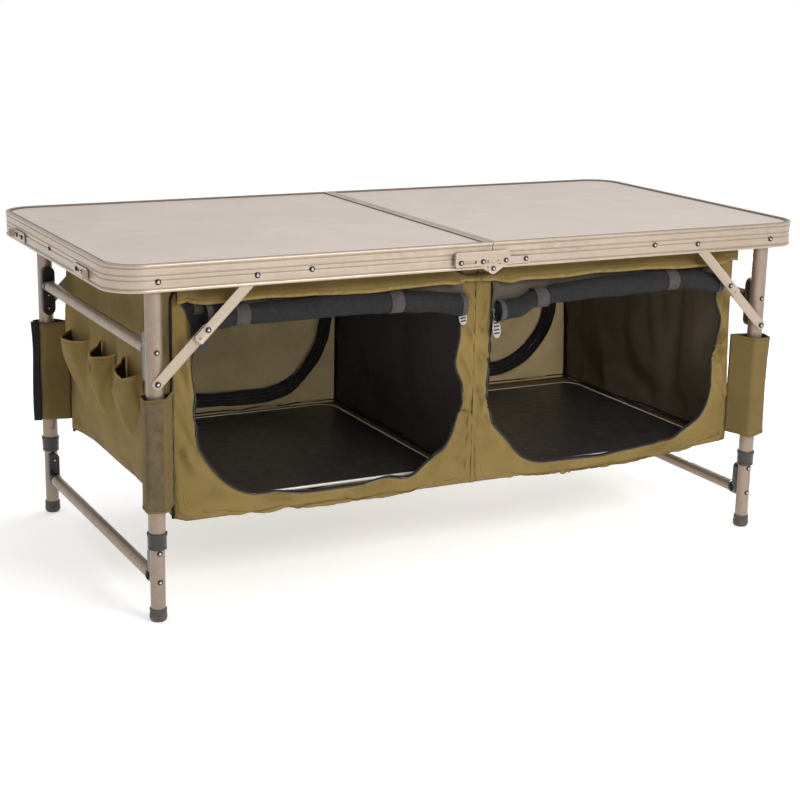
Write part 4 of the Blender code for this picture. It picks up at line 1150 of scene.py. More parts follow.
def end_foot(side, y):
    """The lower edge of an end wall, which meets the front's hem at its front corner."""
    plain = STORE_LOW.z - 0.003
    rise = (hem_height(outward(side, plain)) - plain) * (1 - smooth(OUTER_Y, 0.05, y))
    return plain + rise + end_lift(side, 0.5 - y / (2 * OUTER_Y))


def end_lift(side, u):
    """How far the lower edge of an end wall is drawn up between its corners."""
    if side == "left":
        return 0.0190 * sin(pi * u) + 0.0085 * smooth(0.2, 1.0, u)
    return 0.0035 * sin(pi * u)


def hem_height(x):
    """The front's lower edge: level in the middle, lifting towards the two ends."""
    return 0.1390 + 0.0065 * smooth(0.440, 0.490, -x) + 0.0150 * smooth(0.330, 0.500, x)


def doorway(side):
    """Points on a doorway's edge, with the panel's edge opposite each, from top left to top right."""
    door, top = DOORS[side], PANEL_TOP
    (x0, x1), (z0, z1), (r0, r1) = door["sides"], door["floor"], door["corners"]
    outline = [(x0, top, -1, 0), (x0, z0 + r0, -1, 0)]
    for a in map(radians, range(181, 270, 4)):
        outline.append((x0 + r0 * (1 + cos(a)), z0 + r0 * (1 + sin(a)), cos(a), sin(a)))
    outline += [(x0 + r0, z0, 0, -1), (x1 - r1, z1, 0, -1)]
    for a in map(radians, range(271, 360, 4)):
        outline.append((x1 - r1 * (1 - cos(a)), z1 + r1 * (1 + sin(a)), cos(a), sin(a)))
    outline += [(x1, z1 + r1, 1, 0), (x1, top, 1, 0)]
    even = [outline[0]]
    for a, b in zip(outline, outline[1:]):
        count = max(1, round(hypot(b[0] - a[0], b[1] - a[1]) / DOOR_STEP))
        even += [tuple(p + (q - p) * i / count for p, q in zip(a, b)) for i in range(1, count + 1)]
    low, high = sorted((inner(side), outward(side, 0.3)))
    edge, rim = [], []
    for x, z, nx, nz in even:
        left = (low if side == "right" else outward(side, z)) - x
        right = (high if side == "left" else outward(side, z)) - x
        reach = [left / nx] if nx < -1e-6 else [right / nx] if nx > 1e-6 else []
        if nz < -1e-6:
            reach.append((hem_height(x + nx * 0.03) - z) / nz)
        far = min(reach)
        rim.append((x + nx * far, z + nz * far))
        out = sum(depth * (1 + cos(pi * min(1, hypot(x - px, z - pz) / width))) / 2
                  for px, pz, width, depth in door["pulls"])
        flare = 0.027 * smooth(0.424, 0.482, z) if side == "left" and nx < -0.99 else 0.0
        edge.append((x + nx * out - flare, z + nz * out))
    for corner in (low, high):
        cx = corner if abs(corner) < 0.01 else outward(side, 0.14)
        cz = hem_height(cx)
        best = min(range(len(rim)), key=lambda i: hypot(rim[i][0] - cx, rim[i][1] - cz))
        rim[best] = (cx, cz)
    return edge, rim


def crease(x, z, start, end, width, depth):
    """A soft fold along a line from start to end, fading at both."""
    dx, dz = end[0] - start[0], end[1] - start[1]
    length = hypot(dx, dz)
    along = ((x - start[0]) * dx + (z - start[1]) * dz) / length
    across = ((x - start[0]) * -dz + (z - start[1]) * dx) / length
    fade = smooth(-0.25 * length, 0.3 * length, along) * (1 - smooth(0.7 * length, 1.25 * length, along))
    return depth * fade * (hump(across / width) - 0.5 * hump(across / width - 1.7))


# Folds as (start, end, width, depth), in the plane of their wall
FRONT_FOLDS = (
    ((-0.486, 0.270), (-0.464, 0.205), 0.006, 0.0035),
    ((-0.480, 0.420), (-0.466, 0.340), 0.006, 0.0030),
    ((-0.485, 0.155), (-0.420, 0.180), 0.007, 0.0030),
    ((-0.400, 0.150), (-0.300, 0.166), 0.006, 0.0022),
    ((-0.230, 0.146), (-0.150, 0.165), 0.007, 0.0022),
    ((-0.080, 0.150), (-0.040, 0.215), 0.006, 0.0030),
    ((-0.005, 0.240), (-0.024, 0.300), 0.004, 0.0026),
    ((-0.006, 0.300), (-0.022, 0.350), 0.004, 0.0024),
    ((0.006, 0.200), (0.020, 0.290), 0.004, 0.0026),
    ((0.010, 0.380), (0.022, 0.440), 0.005, 0.0026),
    ((0.020, 0.160), (0.080, 0.178), 0.006, 0.0024),
    ((0.180, 0.146), (0.270, 0.166), 0.007, 0.0022),
    ((0.340, 0.152), (0.400, 0.180), 0.007, 0.0030),
    ((0.488, 0.255), (0.468, 0.310), 0.006, 0.0034),
    ((0.490, 0.220), (0.468, 0.270), 0.005, 0.0028),
    ((0.470, 0.420), (0.484, 0.350), 0.006, 0.0026),
    ((-0.004, 0.430), (-0.026, 0.460), 0.004, 0.0030),
    ((-0.003, 0.372), (-0.024, 0.412), 0.0035, 0.0032),
    ((-0.004, 0.262), (-0.027, 0.268), 0.003, 0.0028),
    ((-0.003, 0.215), (-0.030, 0.240), 0.004, 0.0032),
    ((-0.003, 0.180), (-0.050, 0.200), 0.0045, 0.0030),
    ((0.003, 0.405), (0.022, 0.372), 0.0035, 0.0030),
    ((0.003, 0.350), (0.022, 0.330), 0.0035, 0.0032),
    ((0.004, 0.300), (0.020, 0.270), 0.0035, 0.0028),
    ((0.003, 0.255), (0.030, 0.225), 0.004, 0.0030),
    ((0.004, 0.190), (0.050, 0.196), 0.0045, 0.0028),
    ((0.466, 0.322), (0.486, 0.348), 0.0026, 0.0060),
    ((0.465, 0.298), (0.487, 0.315), 0.0026, 0.0060),
    ((0.360, 0.160), (0.352, 0.172), 0.005, 0.0030),
    ((0.270, 0.150), (0.300, 0.165), 0.006, 0.0026),
    ((-0.200, 0.148), (-0.220, 0.166), 0.006, 0.0026),
    ((-0.300, 0.146), (-0.330, 0.164), 0.007, 0.0026),
    ((-0.488, 0.230), (-0.468, 0.260), 0.004, 0.0030),
    ((-0.440, 0.180), (-0.400, 0.165), 0.006, 0.0028),
)


BACK_FOLDS = (
    ((0.300, 0.190), (0.390, 0.300), 0.008, 0.0035),
    ((0.330, 0.165), (0.430, 0.230), 0.008, -0.0035),
    ((0.240, 0.170), (0.300, 0.240), 0.007, 0.0030),
    ((0.440, 0.420), (0.470, 0.260), 0.007, 0.0030),
    ((-0.430, 0.190), (-0.330, 0.300), 0.010, 0.0030),
    ((-0.350, 0.420), (-0.250, 0.260), 0.010, -0.0030),
    ((-0.120, 0.170), (-0.050, 0.260), 0.008, 0.0030),
)
END_FOLDS = (
    ((0.215, 0.470), (0.235, 0.350), 0.006, 0.0030),
    ((0.120, 0.330), (0.130, 0.430), 0.007, -0.0030),
    ((-0.060, 0.400), (0.010, 0.470), 0.008, 0.0030),
    ((-0.230, 0.440), (-0.200, 0.350), 0.006, 0.0030),
)


# The upright folds of the slack right end wall: place across it, lean and depth
HANGING_FOLDS = (
    (0.20, 0.03, 0.006),
    (0.13, -0.05, -0.007),
    (0.05, 0.02, 0.008),
    (-0.04, -0.04, -0.006),
    (-0.10, 0.05, 0.007),
    (-0.17, 0.02, -0.005),
)


def sewn(free):
    """A sheet held along its four edges, and by so much in between."""
    return lambda u, v: 1.0 if min(u, 1 - u, v, 1 - v) < 0.01 else free


def front_sheet(cloth, side):
    edge, rim = doorway(side)
    steps = len(edge) - 1

    def at(u, v):
        i = round(u * steps)
        x, z = (a + (b - a) * v for a, b in zip(edge[i], rim[i]))
        fold = 2.0 * sum(crease(x, z, *spec) for spec in FRONT_FOLDS) * (1 - smooth(0.85, 1.0, v))
        return Vector((x, OUTER_Y - fold - 0.003 * (1 - v) * smooth(0.40, 0.17, z), z))

    def hold(u, v):
        return 1.0 if v > 0.99 or min(u, 1 - u) < 0.04 else 0.04

    cloth.sheet(f"{side}_front", steps, 12, at, hold, FORWARD, 0.0016)


def wall_sheets(cloth, side, sign):
    """The back, the end, the divider and the floor of one compartment."""
    height = PANEL_TOP - STORE_LOW.z

    def back(u, v):
        z = STORE_LOW.z + height * v
        x = inner(side) + (outward(side, z, -OUTER_Y) - inner(side)) * u
        fold = 1.2 * sum(crease(x, z, *spec) for spec in BACK_FOLDS)
        return Vector((x, -OUTER_Y - fold, z))

    def end(u, v):
        y = OUTER_Y * (1 - 2 * u)
        low = end_foot(side, y)
        z = low + (PANEL_TOP - low) * v
        x = outward(side, z, y) + sign * (0.004 * sin(pi * u) * sin(pi * v) + FABRIC_FACE)
        if side == "right":
            for y0, lean, depth in HANGING_FOLDS:
                x += depth * sin(pi * v) ** 0.6 * hump((y - y0 + lean * (v - 0.5)) / 0.017)
        else:
            x -= sum(crease(y, z, *spec) for spec in END_FOLDS)
        return Vector((x, y, z))

    def divider(u, v):
        bow = 0.006 * sin(pi * u) * sin(pi * v)
        return Vector((inner(side) + sign * bow, OUTER_Y * (1 - 2 * u), STORE_LOW.z + height * v))

    def floor(u, v):
        x = inner(side) + (outward(side, 0.146) - inner(side)) * u
        y = OUTER_Y * (1 - 2 * v)
        lip = 1 - smooth(0.0, 0.05, min(u, 1 - u, v, 1 - v))
        level = STORE_LOW.z - 0.0006 + 0.0030 * lip
        foot = (end_foot(side, y) + 0.0016 - level) * smooth(0.965, 1.0, u)
        rise = (hem_height(x) + 0.0006 - level) * (1 - smooth(OUTER_Y, OUTER_Y + 0.026, y))
        return Vector((x, y, level + max(0.0, foot, rise)))

    cloth.sheet(f"{side}_back", 44, 30, back, sewn(0.015), BACKWARD, 0.0020)
    cloth.sheet(f"{side}_end", 44, 30, end, sewn(0.015), (sign, 0, 0), 0.0024)
    cloth.sheet(f"{side}_divider", 30, 20, divider, sewn(0.015), (-sign, 0, 0), 0.0030)
    cloth.sheet(f"{side}_floor", 30, 30, floor, sewn(0.3), (0, 0, -1), 0.0004)


def top_sheets(cloth, side, sign):
    """The valance that hangs in front of the doorway, and the strip that the door hangs from."""
    x0, x1 = DOORS[side]["sides"]

    def valance(u, v):
        x = sign * (0.0004 + 0.4915 * u)
        dip = 0.0135 * (1 - smooth(0.022, 0.060, abs(x)))
        hem = 0.4705 + 0.0020 * sin(9 + 21 * x) - 0.0040 * (1 - smooth(0.0, 0.10, abs(x)))
        hem -= 0.004 * smooth(0.455, 0.492, abs(x))
        high = 0.4897 - dip
        swell = smooth(0.020, 0.050, abs(x)) * (1 - smooth(0.450, 0.485, abs(x)))
        y = -0.2605 - 0.006 * smooth(0, 0.35, v) - 0.0195 * swell * smooth(0.15, 1.0, v)
        return Vector((x, y - 0.0012 * sin(55 * x) * v, high + (hem - high) * v))

    def head(u, v):
        x = x0 - 0.002 + (x1 - x0 + 0.004) * u
        z = PANEL_TOP + (roll_line(side, x)[1] - PANEL_TOP) * v
        return Vector((x, HEAD_Y - 0.004 * sin(pi * v), z))

    cloth.sheet(f"{side}_valance", 60, 6, valance,
                lambda u, v: 1.0 if v < 0.01 or u < 0.005 or u > 0.995 else 0.05, FORWARD, 0.0010)
    cloth.sheet(f"{side}_head", 50, 5, head, lambda u, v: 1.0 if v < 0.01 or v > 0.99 else 0.05, FORWARD)


def storage_sheets():
    """Every wall, floor, band, sleeve and pocket, cut and settled at once."""
    cloth = Cloth()
    for side, sign in SIDES.items():
        front_sheet(cloth, side)
        wall_sheets(cloth, side, sign)
        top_sheets(cloth, side, sign)
        for row, way in ROWS.items():
            sleeve(cloth, side, sign, row, way)
    pockets(cloth)
    cloth.settle()
    return cloth


# ---------------------------------------------------------------- sleeves and pockets


def rounded(corners, radius, steps=4):
    """An open run of straight lines with its inner corners rounded."""
    points = [Vector(corners[0])]
    for a, b, c in zip(corners, corners[1:], corners[2:]):
        a, b, c = Vector(a), Vector(b), Vector(c)
        into, away = (a - b), (c - b)
        cut = min(radius, into.length * 0.45, away.length * 0.45)
        start, end = b + into.normalized() * cut, b + away.normalized() * cut
        for i in range(steps + 1):
            t = i / steps
            points.append(start * (1 - t) ** 2 + b * (2 * t * (1 - t)) + end * t * t)
    points.append(Vector(corners[-1]))
    return points


def resampled(points, count):
    """count + 1 points, evenly spaced along a run."""
    lengths = [0.0]
    for a, b in zip(points, points[1:]):
        lengths.append(lengths[-1] + (b - a).length)
    even, k = [], 0
    for i in range(count + 1):
        want = lengths[-1] * i / count
        while k < len(points) - 2 and lengths[k + 1] < want:
            k += 1
        span = max(1e-9, lengths[k + 1] - lengths[k])
        even.append(points[k].lerp(points[k + 1], min(1.0, max(0.0, (want - lengths[k]) / span))))
    return even


SLEEVE_STEPS = 48
# Where each wrap's cloth turns on its way round the leg, in plan
SLEEVE_PLANS = {
    "left": ((0.5215, 0.2950), (0.5500, 0.2935), (0.5475, 0.2630), (0.5400, 0.2590)),
    "right": ((0.5160, 0.2990), (0.5480, 0.2950), (0.5590, 0.2640), (0.5400, 0.2580)),
}


def sleeve(cloth, side, sign, row, way):
    """A wrap from the corner of the compartment round its leg and back to the corner."""
    corner = Vector((abs(outward(side, 0.25)) + 0.0008, -OUTER_Y + 0.0012))
    plan = [corner, *map(Vector, SLEEVE_PLANS[side]), corner + Vector((0.001, -0.002))]
    run = resampled(rounded(plan, 0.0040), SLEEVE_STEPS)
    low, high = SLEEVE_LOW.z, SLEEVE_HIGH.z
    centre = Vector((LEG_X, LEG_Y))

    def at(u, v):
        point = run[round(u * SLEEVE_STEPS)]
        flare = 0.035 * smooth(0.75, 1.0, v) + 0.02 * smooth(0.2, 0.0, v)
        x, y = point + (point - centre) * flare * smooth(0.0, 0.25, min(u, 1 - u))
        z = low + (high - low) * v + 0.0020 * sin(tau * u + 1.0) * (v - 0.5)
        if side == "right":
            z -= 0.0035 * (1 - v) * hump((u - 0.30) / 0.10)
        return Vector((sign * x, way * y, z))

    cloth.sheet(f"{side}_{row}_sleeve", SLEEVE_STEPS, 20, at,
                lambda u, v: 1.0 if min(u, 1 - u) < 0.01 else 0.70, (sign * 0.3, way, 0), 0.0030)


# The mouths of the three tool pockets in plan, from the wall out to the corner and back to the wall, with
# the height of the rim there above its lowest
POCKET_WALL = 0.4978
MOUTHS = (
    (
        (POCKET_WALL, 0.203, 0.0060),
        (0.5410, 0.152, 0.0),
        (0.5360, 0.127, -0.001),
        (0.5130, 0.1130, 0.0),
        (POCKET_WALL, 0.1095, 0.0040),
    ),
    (
        (POCKET_WALL, 0.069, 0.0090),
        (0.5290, 0.056, 0.0),
        (0.5365, 0.008, -0.001),
        (0.5110, -0.0040, 0.0),
        (POCKET_WALL, -0.0030, 0.0020),
    ),
    (
        (POCKET_WALL, -0.048, 0.0080),
        (0.5300, -0.062, 0.0),
        (0.5310, -0.1257, -0.001),
        (0.5170, -0.1396, 0.0),
        (POCKET_WALL, -0.1340, 0.0020),
    ),
)
POCKET_STEPS = 30


def pockets(cloth):
    """The three tool pockets: narrow at the foot, and opening to their mouths."""
    high = POCKET_HIGH.z
    for index, mouth in enumerate(MOUTHS):
        run = resampled(rounded([Vector(p) for p in mouth], 0.006, 5), POCKET_STEPS)

        def at(u, v, run=run, index=index):
            point = run[round(u * POCKET_STEPS)]
            flat = run[0].lerp(run[-1], u)
            full = 0.05 + 0.95 * smooth(0.10, 1.04, v)
            y = flat.y + (point.y - flat.y) * (0.10 + 0.90 * smooth(0.0, 0.9, v))
            low = end_foot("left", y) + 0.0030
            z = low + (high + point.z - low) * v
            x = abs(outward("left", z, y)) + 0.0022 + (point.x - POCKET_WALL) * full
            x += 0.0016 * sin(13 * u + 3 * index) * (1 - v) * v * 4
            return Vector((-x, y, z))

        cloth.sheet(f"pocket_{index}", POCKET_STEPS, 24, at,
                    lambda u, v: 1.0 if min(u, 1 - u) < 0.01 or v < 0.01 else 0.10 if v > 0.9 else 0.03,
                    (-1, -0.2, 0), 0.0018)


def storage():
    cloth = storage_sheets()
    for side, sign in SIDES.items():
        body = f"{side}_top"
        front_wall(cloth, side, body)
        other_walls(cloth, side, sign, body)
        valance_and_head(cloth, side, body)
        base_board(side, body)
        rolled_door(cloth, side, body)
        for row in ROWS:
            sleeve_pieces(cloth, side, row, body)
    tool_pockets(cloth)


# Zip pulls: place on the doorway's edge, shift off it, the ways it hangs and faces, length and material
PULLS = {
    "left": (
        (0.944, (-0.001, -0.0022, 0), (0.12, -0.12, -1), (0.1, -1, 0.1), 0.028, 0),
        (0.079, (0.008, -0.003, 0.004), (0.5, -0.1, -1), (0, -1, 0.2), 0.012, 1),
    ),
    "right": (
        (0.076, (0.004, -0.0022, 0), (0.05, -0.12, -1), (0.02, -1, 0.1), 0.034, 0),
        (0.962, (-0.006, -0.003, 0), (-0.5, -0.1, -1), (0, -1, 0.2), 0.014, 1),
    ),
}


def front_wall(cloth, side, body):
    """The front round its doorway, with the door's half of the zip, the hem and the seams."""
    name = f"{side}_front"
    wall = soft(f"{side}_front_wall", cloth.cut(name), body, OLIVE_CLOTH,
                node=f"{side}_compartment")
    steps = cloth.grids[name][1]
    tape, teeth, seam, ridge, pulls = Shape(), Shape(), Shape(), Shape(), Shape()
    path, turns = cloth.line(name, (0, 0), (1, 0), steps, 0.0004)
    band(tape, path, turns, 0.0052, 0.0014, -0.0012)
    coil(teeth, [p + n * 0.0011 for p, n in zip(path, turns)], turns, 0.0007)
    stitches(seam, *cloth.line(name, (0, 0.11), (1, 0.11), steps, 0.0006))
    stitches(seam, *cloth.line(name, (0.26, 0.73), (0.74, 0.73), steps, 0.0016))
    band(ridge, *cloth.line(name, (0.25, 0.85), (0.75, 0.85), steps, 0.0006), 0.0094, 0.0013)
    if side == "left":
        heights = [0.1388 + (0.4745 - 0.1388) * i / 40 for i in range(41)]
        rib = [Vector((0.0003 * wobble(z * 30), OUTER_Y - 0.0016, z)) for z in heights]
        turns = [Vector(FORWARD)] * len(rib)
        band(ridge, rib, turns, 0.0052, 0.0018)
        for shift in (-0.0042, 0.0042):
            stitches(seam, [p + Vector((shift, 0.0004, 0)) for p in rib], turns)
    for u, shift, down, out, length, ink in PULLS[side]:
        pull(pulls, cloth.spot(name, u, 0) + Vector(shift), down, out, length, ink)
    extras = [
        trim(f"{side}_door_zip_tape", tape, body, ZIP_TAPE),
        trim(f"{side}_door_zip_teeth", teeth, body, ZIP_TEETH),
        sewing(f"{side}_front_stitches", seam, body),
        trim(f"{side}_front_hem", ridge, body, OLIVE_CLOTH, 50),
        trim(f"{side}_door_zip_pulls", pulls, body, [PULL, PULL_DARK_AND_SLOT_SHADE], 30),
    ]


def back_zip(side):
    """The closed zip of the back doorway, as (u, v) places on the back wall."""
    corner, reach, foot, x_in, x_out = 0.135, PANEL_TOP - 0.012, 0.1775, 0.0245, 0.4565
    places = [(x_in, reach), (x_in, foot + corner)]
    places += arc((x_in + corner, foot + corner), corner, 186, 264, 13)
    places += [(x_in + corner, foot), (x_out - corner, foot)]
    places += arc((x_out - corner, foot + corner), corner, 276, 354, 13)
    places += [(x_out, foot + corner), (x_out, reach)]
    spots = []
    for x, z in resampled([Vector(p) for p in places], 110):
        u = (x - abs(inner(side))) / (abs(outward(side, z, -OUTER_Y)) - abs(inner(side)))
        spots.append((u, (z - STORE_LOW.z) / (PANEL_TOP - STORE_LOW.z)))
    return spots


def back_zip_pieces(cloth, side, body):
    """The zip's tape, stitches and teeth, on both faces of the back wall."""
    spots = back_zip(side)
    tape, lines, teeth = Shape(), Shape(), Shape()
    for face in (-1, 1):
        turns = [cloth.normal(f"{side}_back", u, v) * face for u, v in spots]
        path = [cloth.spot(f"{side}_back", u, v) + n * 0.0036 for (u, v), n in zip(spots, turns)]
        band(tape, path, turns, 0.0270, 0.0008)
        for shift in (-0.0062, 0.0062):
            moved = []
            for i, point in enumerate(path):
                ahead = (path[min(i + 1, len(path) - 1)] - path[max(i - 1, 0)]).normalized()
                moved.append(point + ahead.cross(turns[i]).normalized() * shift + turns[i] * 0.0005)
            stitches(lines, moved, turns, 0.0036, 0.0030, 0.0005)
        coil(teeth, [p + n * 0.0008 for p, n in zip(path, turns)], turns, 0.0012)
    return [
        trim(f"{side}_back_zip_tape", tape, body, BACK_TAPE),
        sewing(f"{side}_back_zip_stitches", lines, body, DARK_THREAD),
        trim(f"{side}_back_zip_teeth", teeth, body, ZIP_TEETH),
    ]


def seam_binding(side, sign, body):
    """Black binding up the corners of a compartment and round its floor."""
    bound = Shape()
    for row in (-1, 1):
        for inside in (False, True):
            if row < 0 and not inside and side == "right":
                continue
            proud = side == "left" and row < 0 and not inside
            out, back = (-0.0022, 0.0012) if proud else (-0.0018 if inside else 0.0018, -0.0016)
            line = []
            for i in range(25):
                z = STORE_LOW.z + (PANEL_TOP - STORE_LOW.z) * i / 24
                x = inner(side) if inside else outward(side, z, -row * OUTER_Y)
                line.append(Vector((x - sign * out, row * (back - OUTER_Y), z)))
            bound.sweep(line, strip_profile(0.0042, 0.0030), (sign * 0.7, row * 0.7, 0))
    x0, x1 = inner(side) + sign * 0.002, outward(side, 0.15) - sign * (0.006 if side == "right" else 0.002)
    y0 = -OUTER_Y - 0.002
    corners = [(x0, -y0), (x1, -y0), (x1, y0), (x0, y0), (x0, -y0)]
    loop = []
    for i in range(90):
        t = i / 90 * 4
        k = int(t)
        x, y = (a + (b - a) * (t - k) for a, b in zip(corners[k], corners[k + 1]))
        lift = end_lift(side, 0.5 - y / (2 * OUTER_Y)) * smooth(0.44, 0.487, abs(x))
        z = STORE_LOW.z + 0.0075 + lift + 0.0030 * wobble(x * 24, y * 24)
        loop.append(Vector((x, y, max(z, hem_height(x) + 0.007) if y < 0 else z)))
    bound.sweep(loop, strip_profile(0.0024, 0.0022), (0, 0, 1), closed=True)
    return trim(f"{side}_seam_binding", bound, body, ZIP_TAPE)


def other_walls(cloth, side, sign, body):
    """The back, end, divider and floor of a compartment, with their zip, binding and seams."""
    # The left back wall takes the darker painted-shade copy of the same cloth
    back_cloth = BACK_CLOTH_PAINTED_SHADE_LEFT if side == "left" else BACK_CLOTH
    back = soft(f"{side}_back_wall", cloth.cut(f"{side}_back"), body, back_cloth, 0)
    # The end wall's inner face takes the painted-shade copy of the olive
    end_cloths = [OLIVE_CLOTH, INSIDE_CLOTH_PAINTED_SHADE]
    end = soft(f"{side}_end_wall", cloth.cut(f"{side}_end"), body, end_cloths)
    line_inside(end, cloth, f"{side}_end")
    divider = soft(f"{side}_divider", cloth.cut(f"{side}_divider"), body, DIVIDER_CLOTH)
    floor = soft(f"{side}_floor", cloth.cut(f"{side}_floor"), body, FLOOR_CLOTH)
    zip_pieces = back_zip_pieces(cloth, side, body)
    binding = seam_binding(side, sign, body)
    thread = Shape()
    for wall in ("back", "end"):
        stitches(thread, *cloth.line(f"{side}_{wall}", (0.02, 0.03), (0.98, 0.03), 60, 0.0006))
    seams = sewing(f"{side}_wall_stitches", thread, body)


def valance_and_head(cloth, side, body):
    name = f"{side}_valance"
    strip = soft(f"{side}_valance", cloth.cut(name), body, OLIVE_CLOTH)
    hem, thread = Shape(), Shape()
    band(hem, *cloth.line(name, (0.0, 0.86), (1.0, 0.86), 60, 0.0007), 0.0052, 0.0013)
    stitches(thread, *cloth.line(name, (0.0, 0.62), (1.0, 0.62), 60, 0.0006))
    # The hem band's lighter olive is a painted highlight along the valance's fold
    fold = trim(f"{side}_valance_hem", hem, body, OLIVE_TAPE_AND_HEM_HIGHLIGHT, 50)
    seams = sewing(f"{side}_valance_stitches", thread, body)
    head = soft(f"{side}_door_head", cloth.cut(f"{side}_head"), body, HEAD_CLOTH)


def base_board(side, body):
    """A stiff black sheet with rounded corners and a piped edge, the silver piping painted near white as a
    painted highlight.
    """
    low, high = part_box(f"{side}_base_board")
    bend = 0.030
    x0, x1, y0, y1 = low.x + bend, high.x - bend, low.y + bend, high.y - bend
    outline = []
    for corner, turn in (((x1, y1), 0), ((x0, y1), 90), ((x0, y0), 180), ((x1, y0), 270)):
        outline += arc(corner, bend, turn, turn + 90, 10)
    board = Shape().stack([[(x, y, z) for x, y in outline] for z in (low.z, high.z)])
    trim(f"{side}_floor_board", board, body, SHEET_BLACK, 35, f"{side}_base_board")
    profile = strip_profile(0.0046, high.z - low.z + 0.0012, 0.4)
    edge = Shape().sweep([(x, y, (low.z + high.z) / 2) for x, y in outline], profile, (0, 0, 1), closed=True)
    trim(f"{side}_floor_board_piping", edge, body, PIPING_PAINTED_HIGHLIGHT, 50)


# ---------------------------------------------------------------- rolled doors


# Each roll: its ends, its sag and its radius along X, and its straps as (place, slant)
ROLLS = {
    "left": dict(
        ends=(-0.4525, -0.0315),
        droop=(
            (-0.4525, 0.0015), (-0.40, -0.0010), (-0.25, 0.0020), (-0.15, 0.0005), (-0.10, -0.0035),
            (-0.0315, -0.0135),
        ),
        size=(
            (-0.4525, 0.0205), (-0.43, 0.0190), (-0.398, 0.0150), (-0.36, 0.0166), (-0.25, 0.0182),
            (-0.151, 0.0158), (-0.11, 0.0184), (-0.075, 0.0176), (-0.0315, 0.0188),
        ),
        straps=((-0.398, 0.0), (-0.151, 0.0)),
    ),
    "right": dict(
        ends=(0.0300, 0.4540),
        droop=(
            (0.030, -0.0290), (0.060, -0.0255), (0.100, -0.0110), (0.140, -0.0070), (0.24, -0.0030),
            (0.34, -0.0005), (0.40, -0.0030), (0.454, -0.0120),
        ),
        size=(
            (0.030, 0.0178), (0.060, 0.0165), (0.103, 0.0150), (0.15, 0.0170), (0.24, 0.0184),
            (0.31, 0.0182), (0.353, 0.0156), (0.40, 0.0186), (0.43, 0.0170), (0.454, 0.0168),
        ),
        straps=((0.103, 0.55), (0.353, 0.25)),
    ),
}


def between(table, x):
    """A value from a short list of (x, value), joined smoothly."""
    for (xa, a), (xb, b) in zip(table, table[1:]):
        if x <= xb:
            return a + (b - a) * smooth(xa, xb, x)
    return table[-1][1]


def roll_line(side, x):
    """Centre of a roll at x, as (y, z)."""
    reach = between(ROLLS[side]["size"], x)
    return ROLL_Y + 0.0018 + 0.4 * (reach - 0.0163), ROLL_Z + between(ROLLS[side]["droop"], x)


ROLL_TURNS = 4.3


def rolled_door(cloth, side, body):
    """The door rolled up and tied: a spiral of cloth, its zip tape at both ends and two straps round it."""
    roll = ROLLS[side]
    x0, x1 = roll["ends"]
    seed = 5 if side == "left" else 8
    steps, wraps = 64, 130

    def surface(x, turn, swell=0.0):
        """A point at x on the spiral: turn counts from the back, going down and round to the front."""
        y, z = roll_line(side, x)
        lump = 0.10 * wobble(x * 23, turn * 1.9, 0, seed) + 0.05 * wobble(x * 60, turn * 4, 1, seed)
        lump += 0.10 * sin(turn * tau + x * 38 + seed) * smooth(0, 0.4, turn)
        for tie, _ in roll["straps"]:
            near = max(0.0, abs(x - tie) - 0.010)
            lump += 0.16 * sin(turn * tau * 5 + (x - tie) * 55) * hump(near / 0.030) * smooth(0, 0.01, near)
        radius = between(roll["size"], x) * (1 - 0.74 * turn / ROLL_TURNS) * (1 + 0.55 * lump) + swell
        a = -tau * turn
        return Vector((x, y + radius * cos(a) * 0.94, z + radius * sin(a)))

    def at(u, v):
        turn = v * ROLL_TURNS
        lean = 0.004 * wobble(v * 9, seed, 0) * (1 if u < 0.5 else -1) * smooth(0.42, 0.5, abs(u - 0.5))
        inset = 0.0015 * turn / ROLL_TURNS
        return surface(x0 + inset + (x1 - x0 - 2 * inset) * u + lean, turn)

    spiral = Shape().grid(steps, wraps, at)
    sheet = soft(f"{side}_rolled_cloth", spiral, body, ROLL_CLOTH, 0.0007,
                 node=f"{side}_rolled_door")
    tapes, straps, thread = Shape(), Shape(), Shape()
    for end, way in ((x0, 1), (x1, -1)):
        line = [surface(end + way * 0.0040, t / 26, 0.0008) for t in range(30)]
        turns = [(p - Vector((p.x, *roll_line(side, p.x)))).normalized() for p in line]
        band(tapes, line, turns, 0.0090, 0.0012)
        moved = [p + Vector((way * 0.0034, 0, 0)) + n * 0.0008 for p, n in zip(line, turns)]
        stitches(thread, moved, turns, 0.0036, 0.0026, 0.0004)
    for tie, slant in roll["straps"]:
        line, turns = [], []
        for i in range(29):
            x = tie + slant * 0.020 * (0.5 - i / 27)
            point = surface(x, min(0.98, 0.12 + i / 27 * 0.86), 0.0016)
            line.append(point)
            turns.append((point - Vector((point.x, *roll_line(side, x)))).normalized())
        band(straps, line, turns, 0.0215, 0.0013)
        for shift in (-0.0088, 0.0088):
            moved = [p + Vector((shift, 0, 0)) + n * 0.0009 for p, n in zip(line, turns)]
            stitches(thread, moved, turns, 0.0036, 0.0024, 0.0003)
    ends = trim(f"{side}_rolled_zip_tape", tapes, body, GREY_TAPE, angle=50)
    ties = trim(f"{side}_roll_straps", straps, body, GREY_TAPE, angle=50)
    seams = sewing(f"{side}_roll_stitches", thread, body, DARK_THREAD)
    gusset(cloth, side, body)


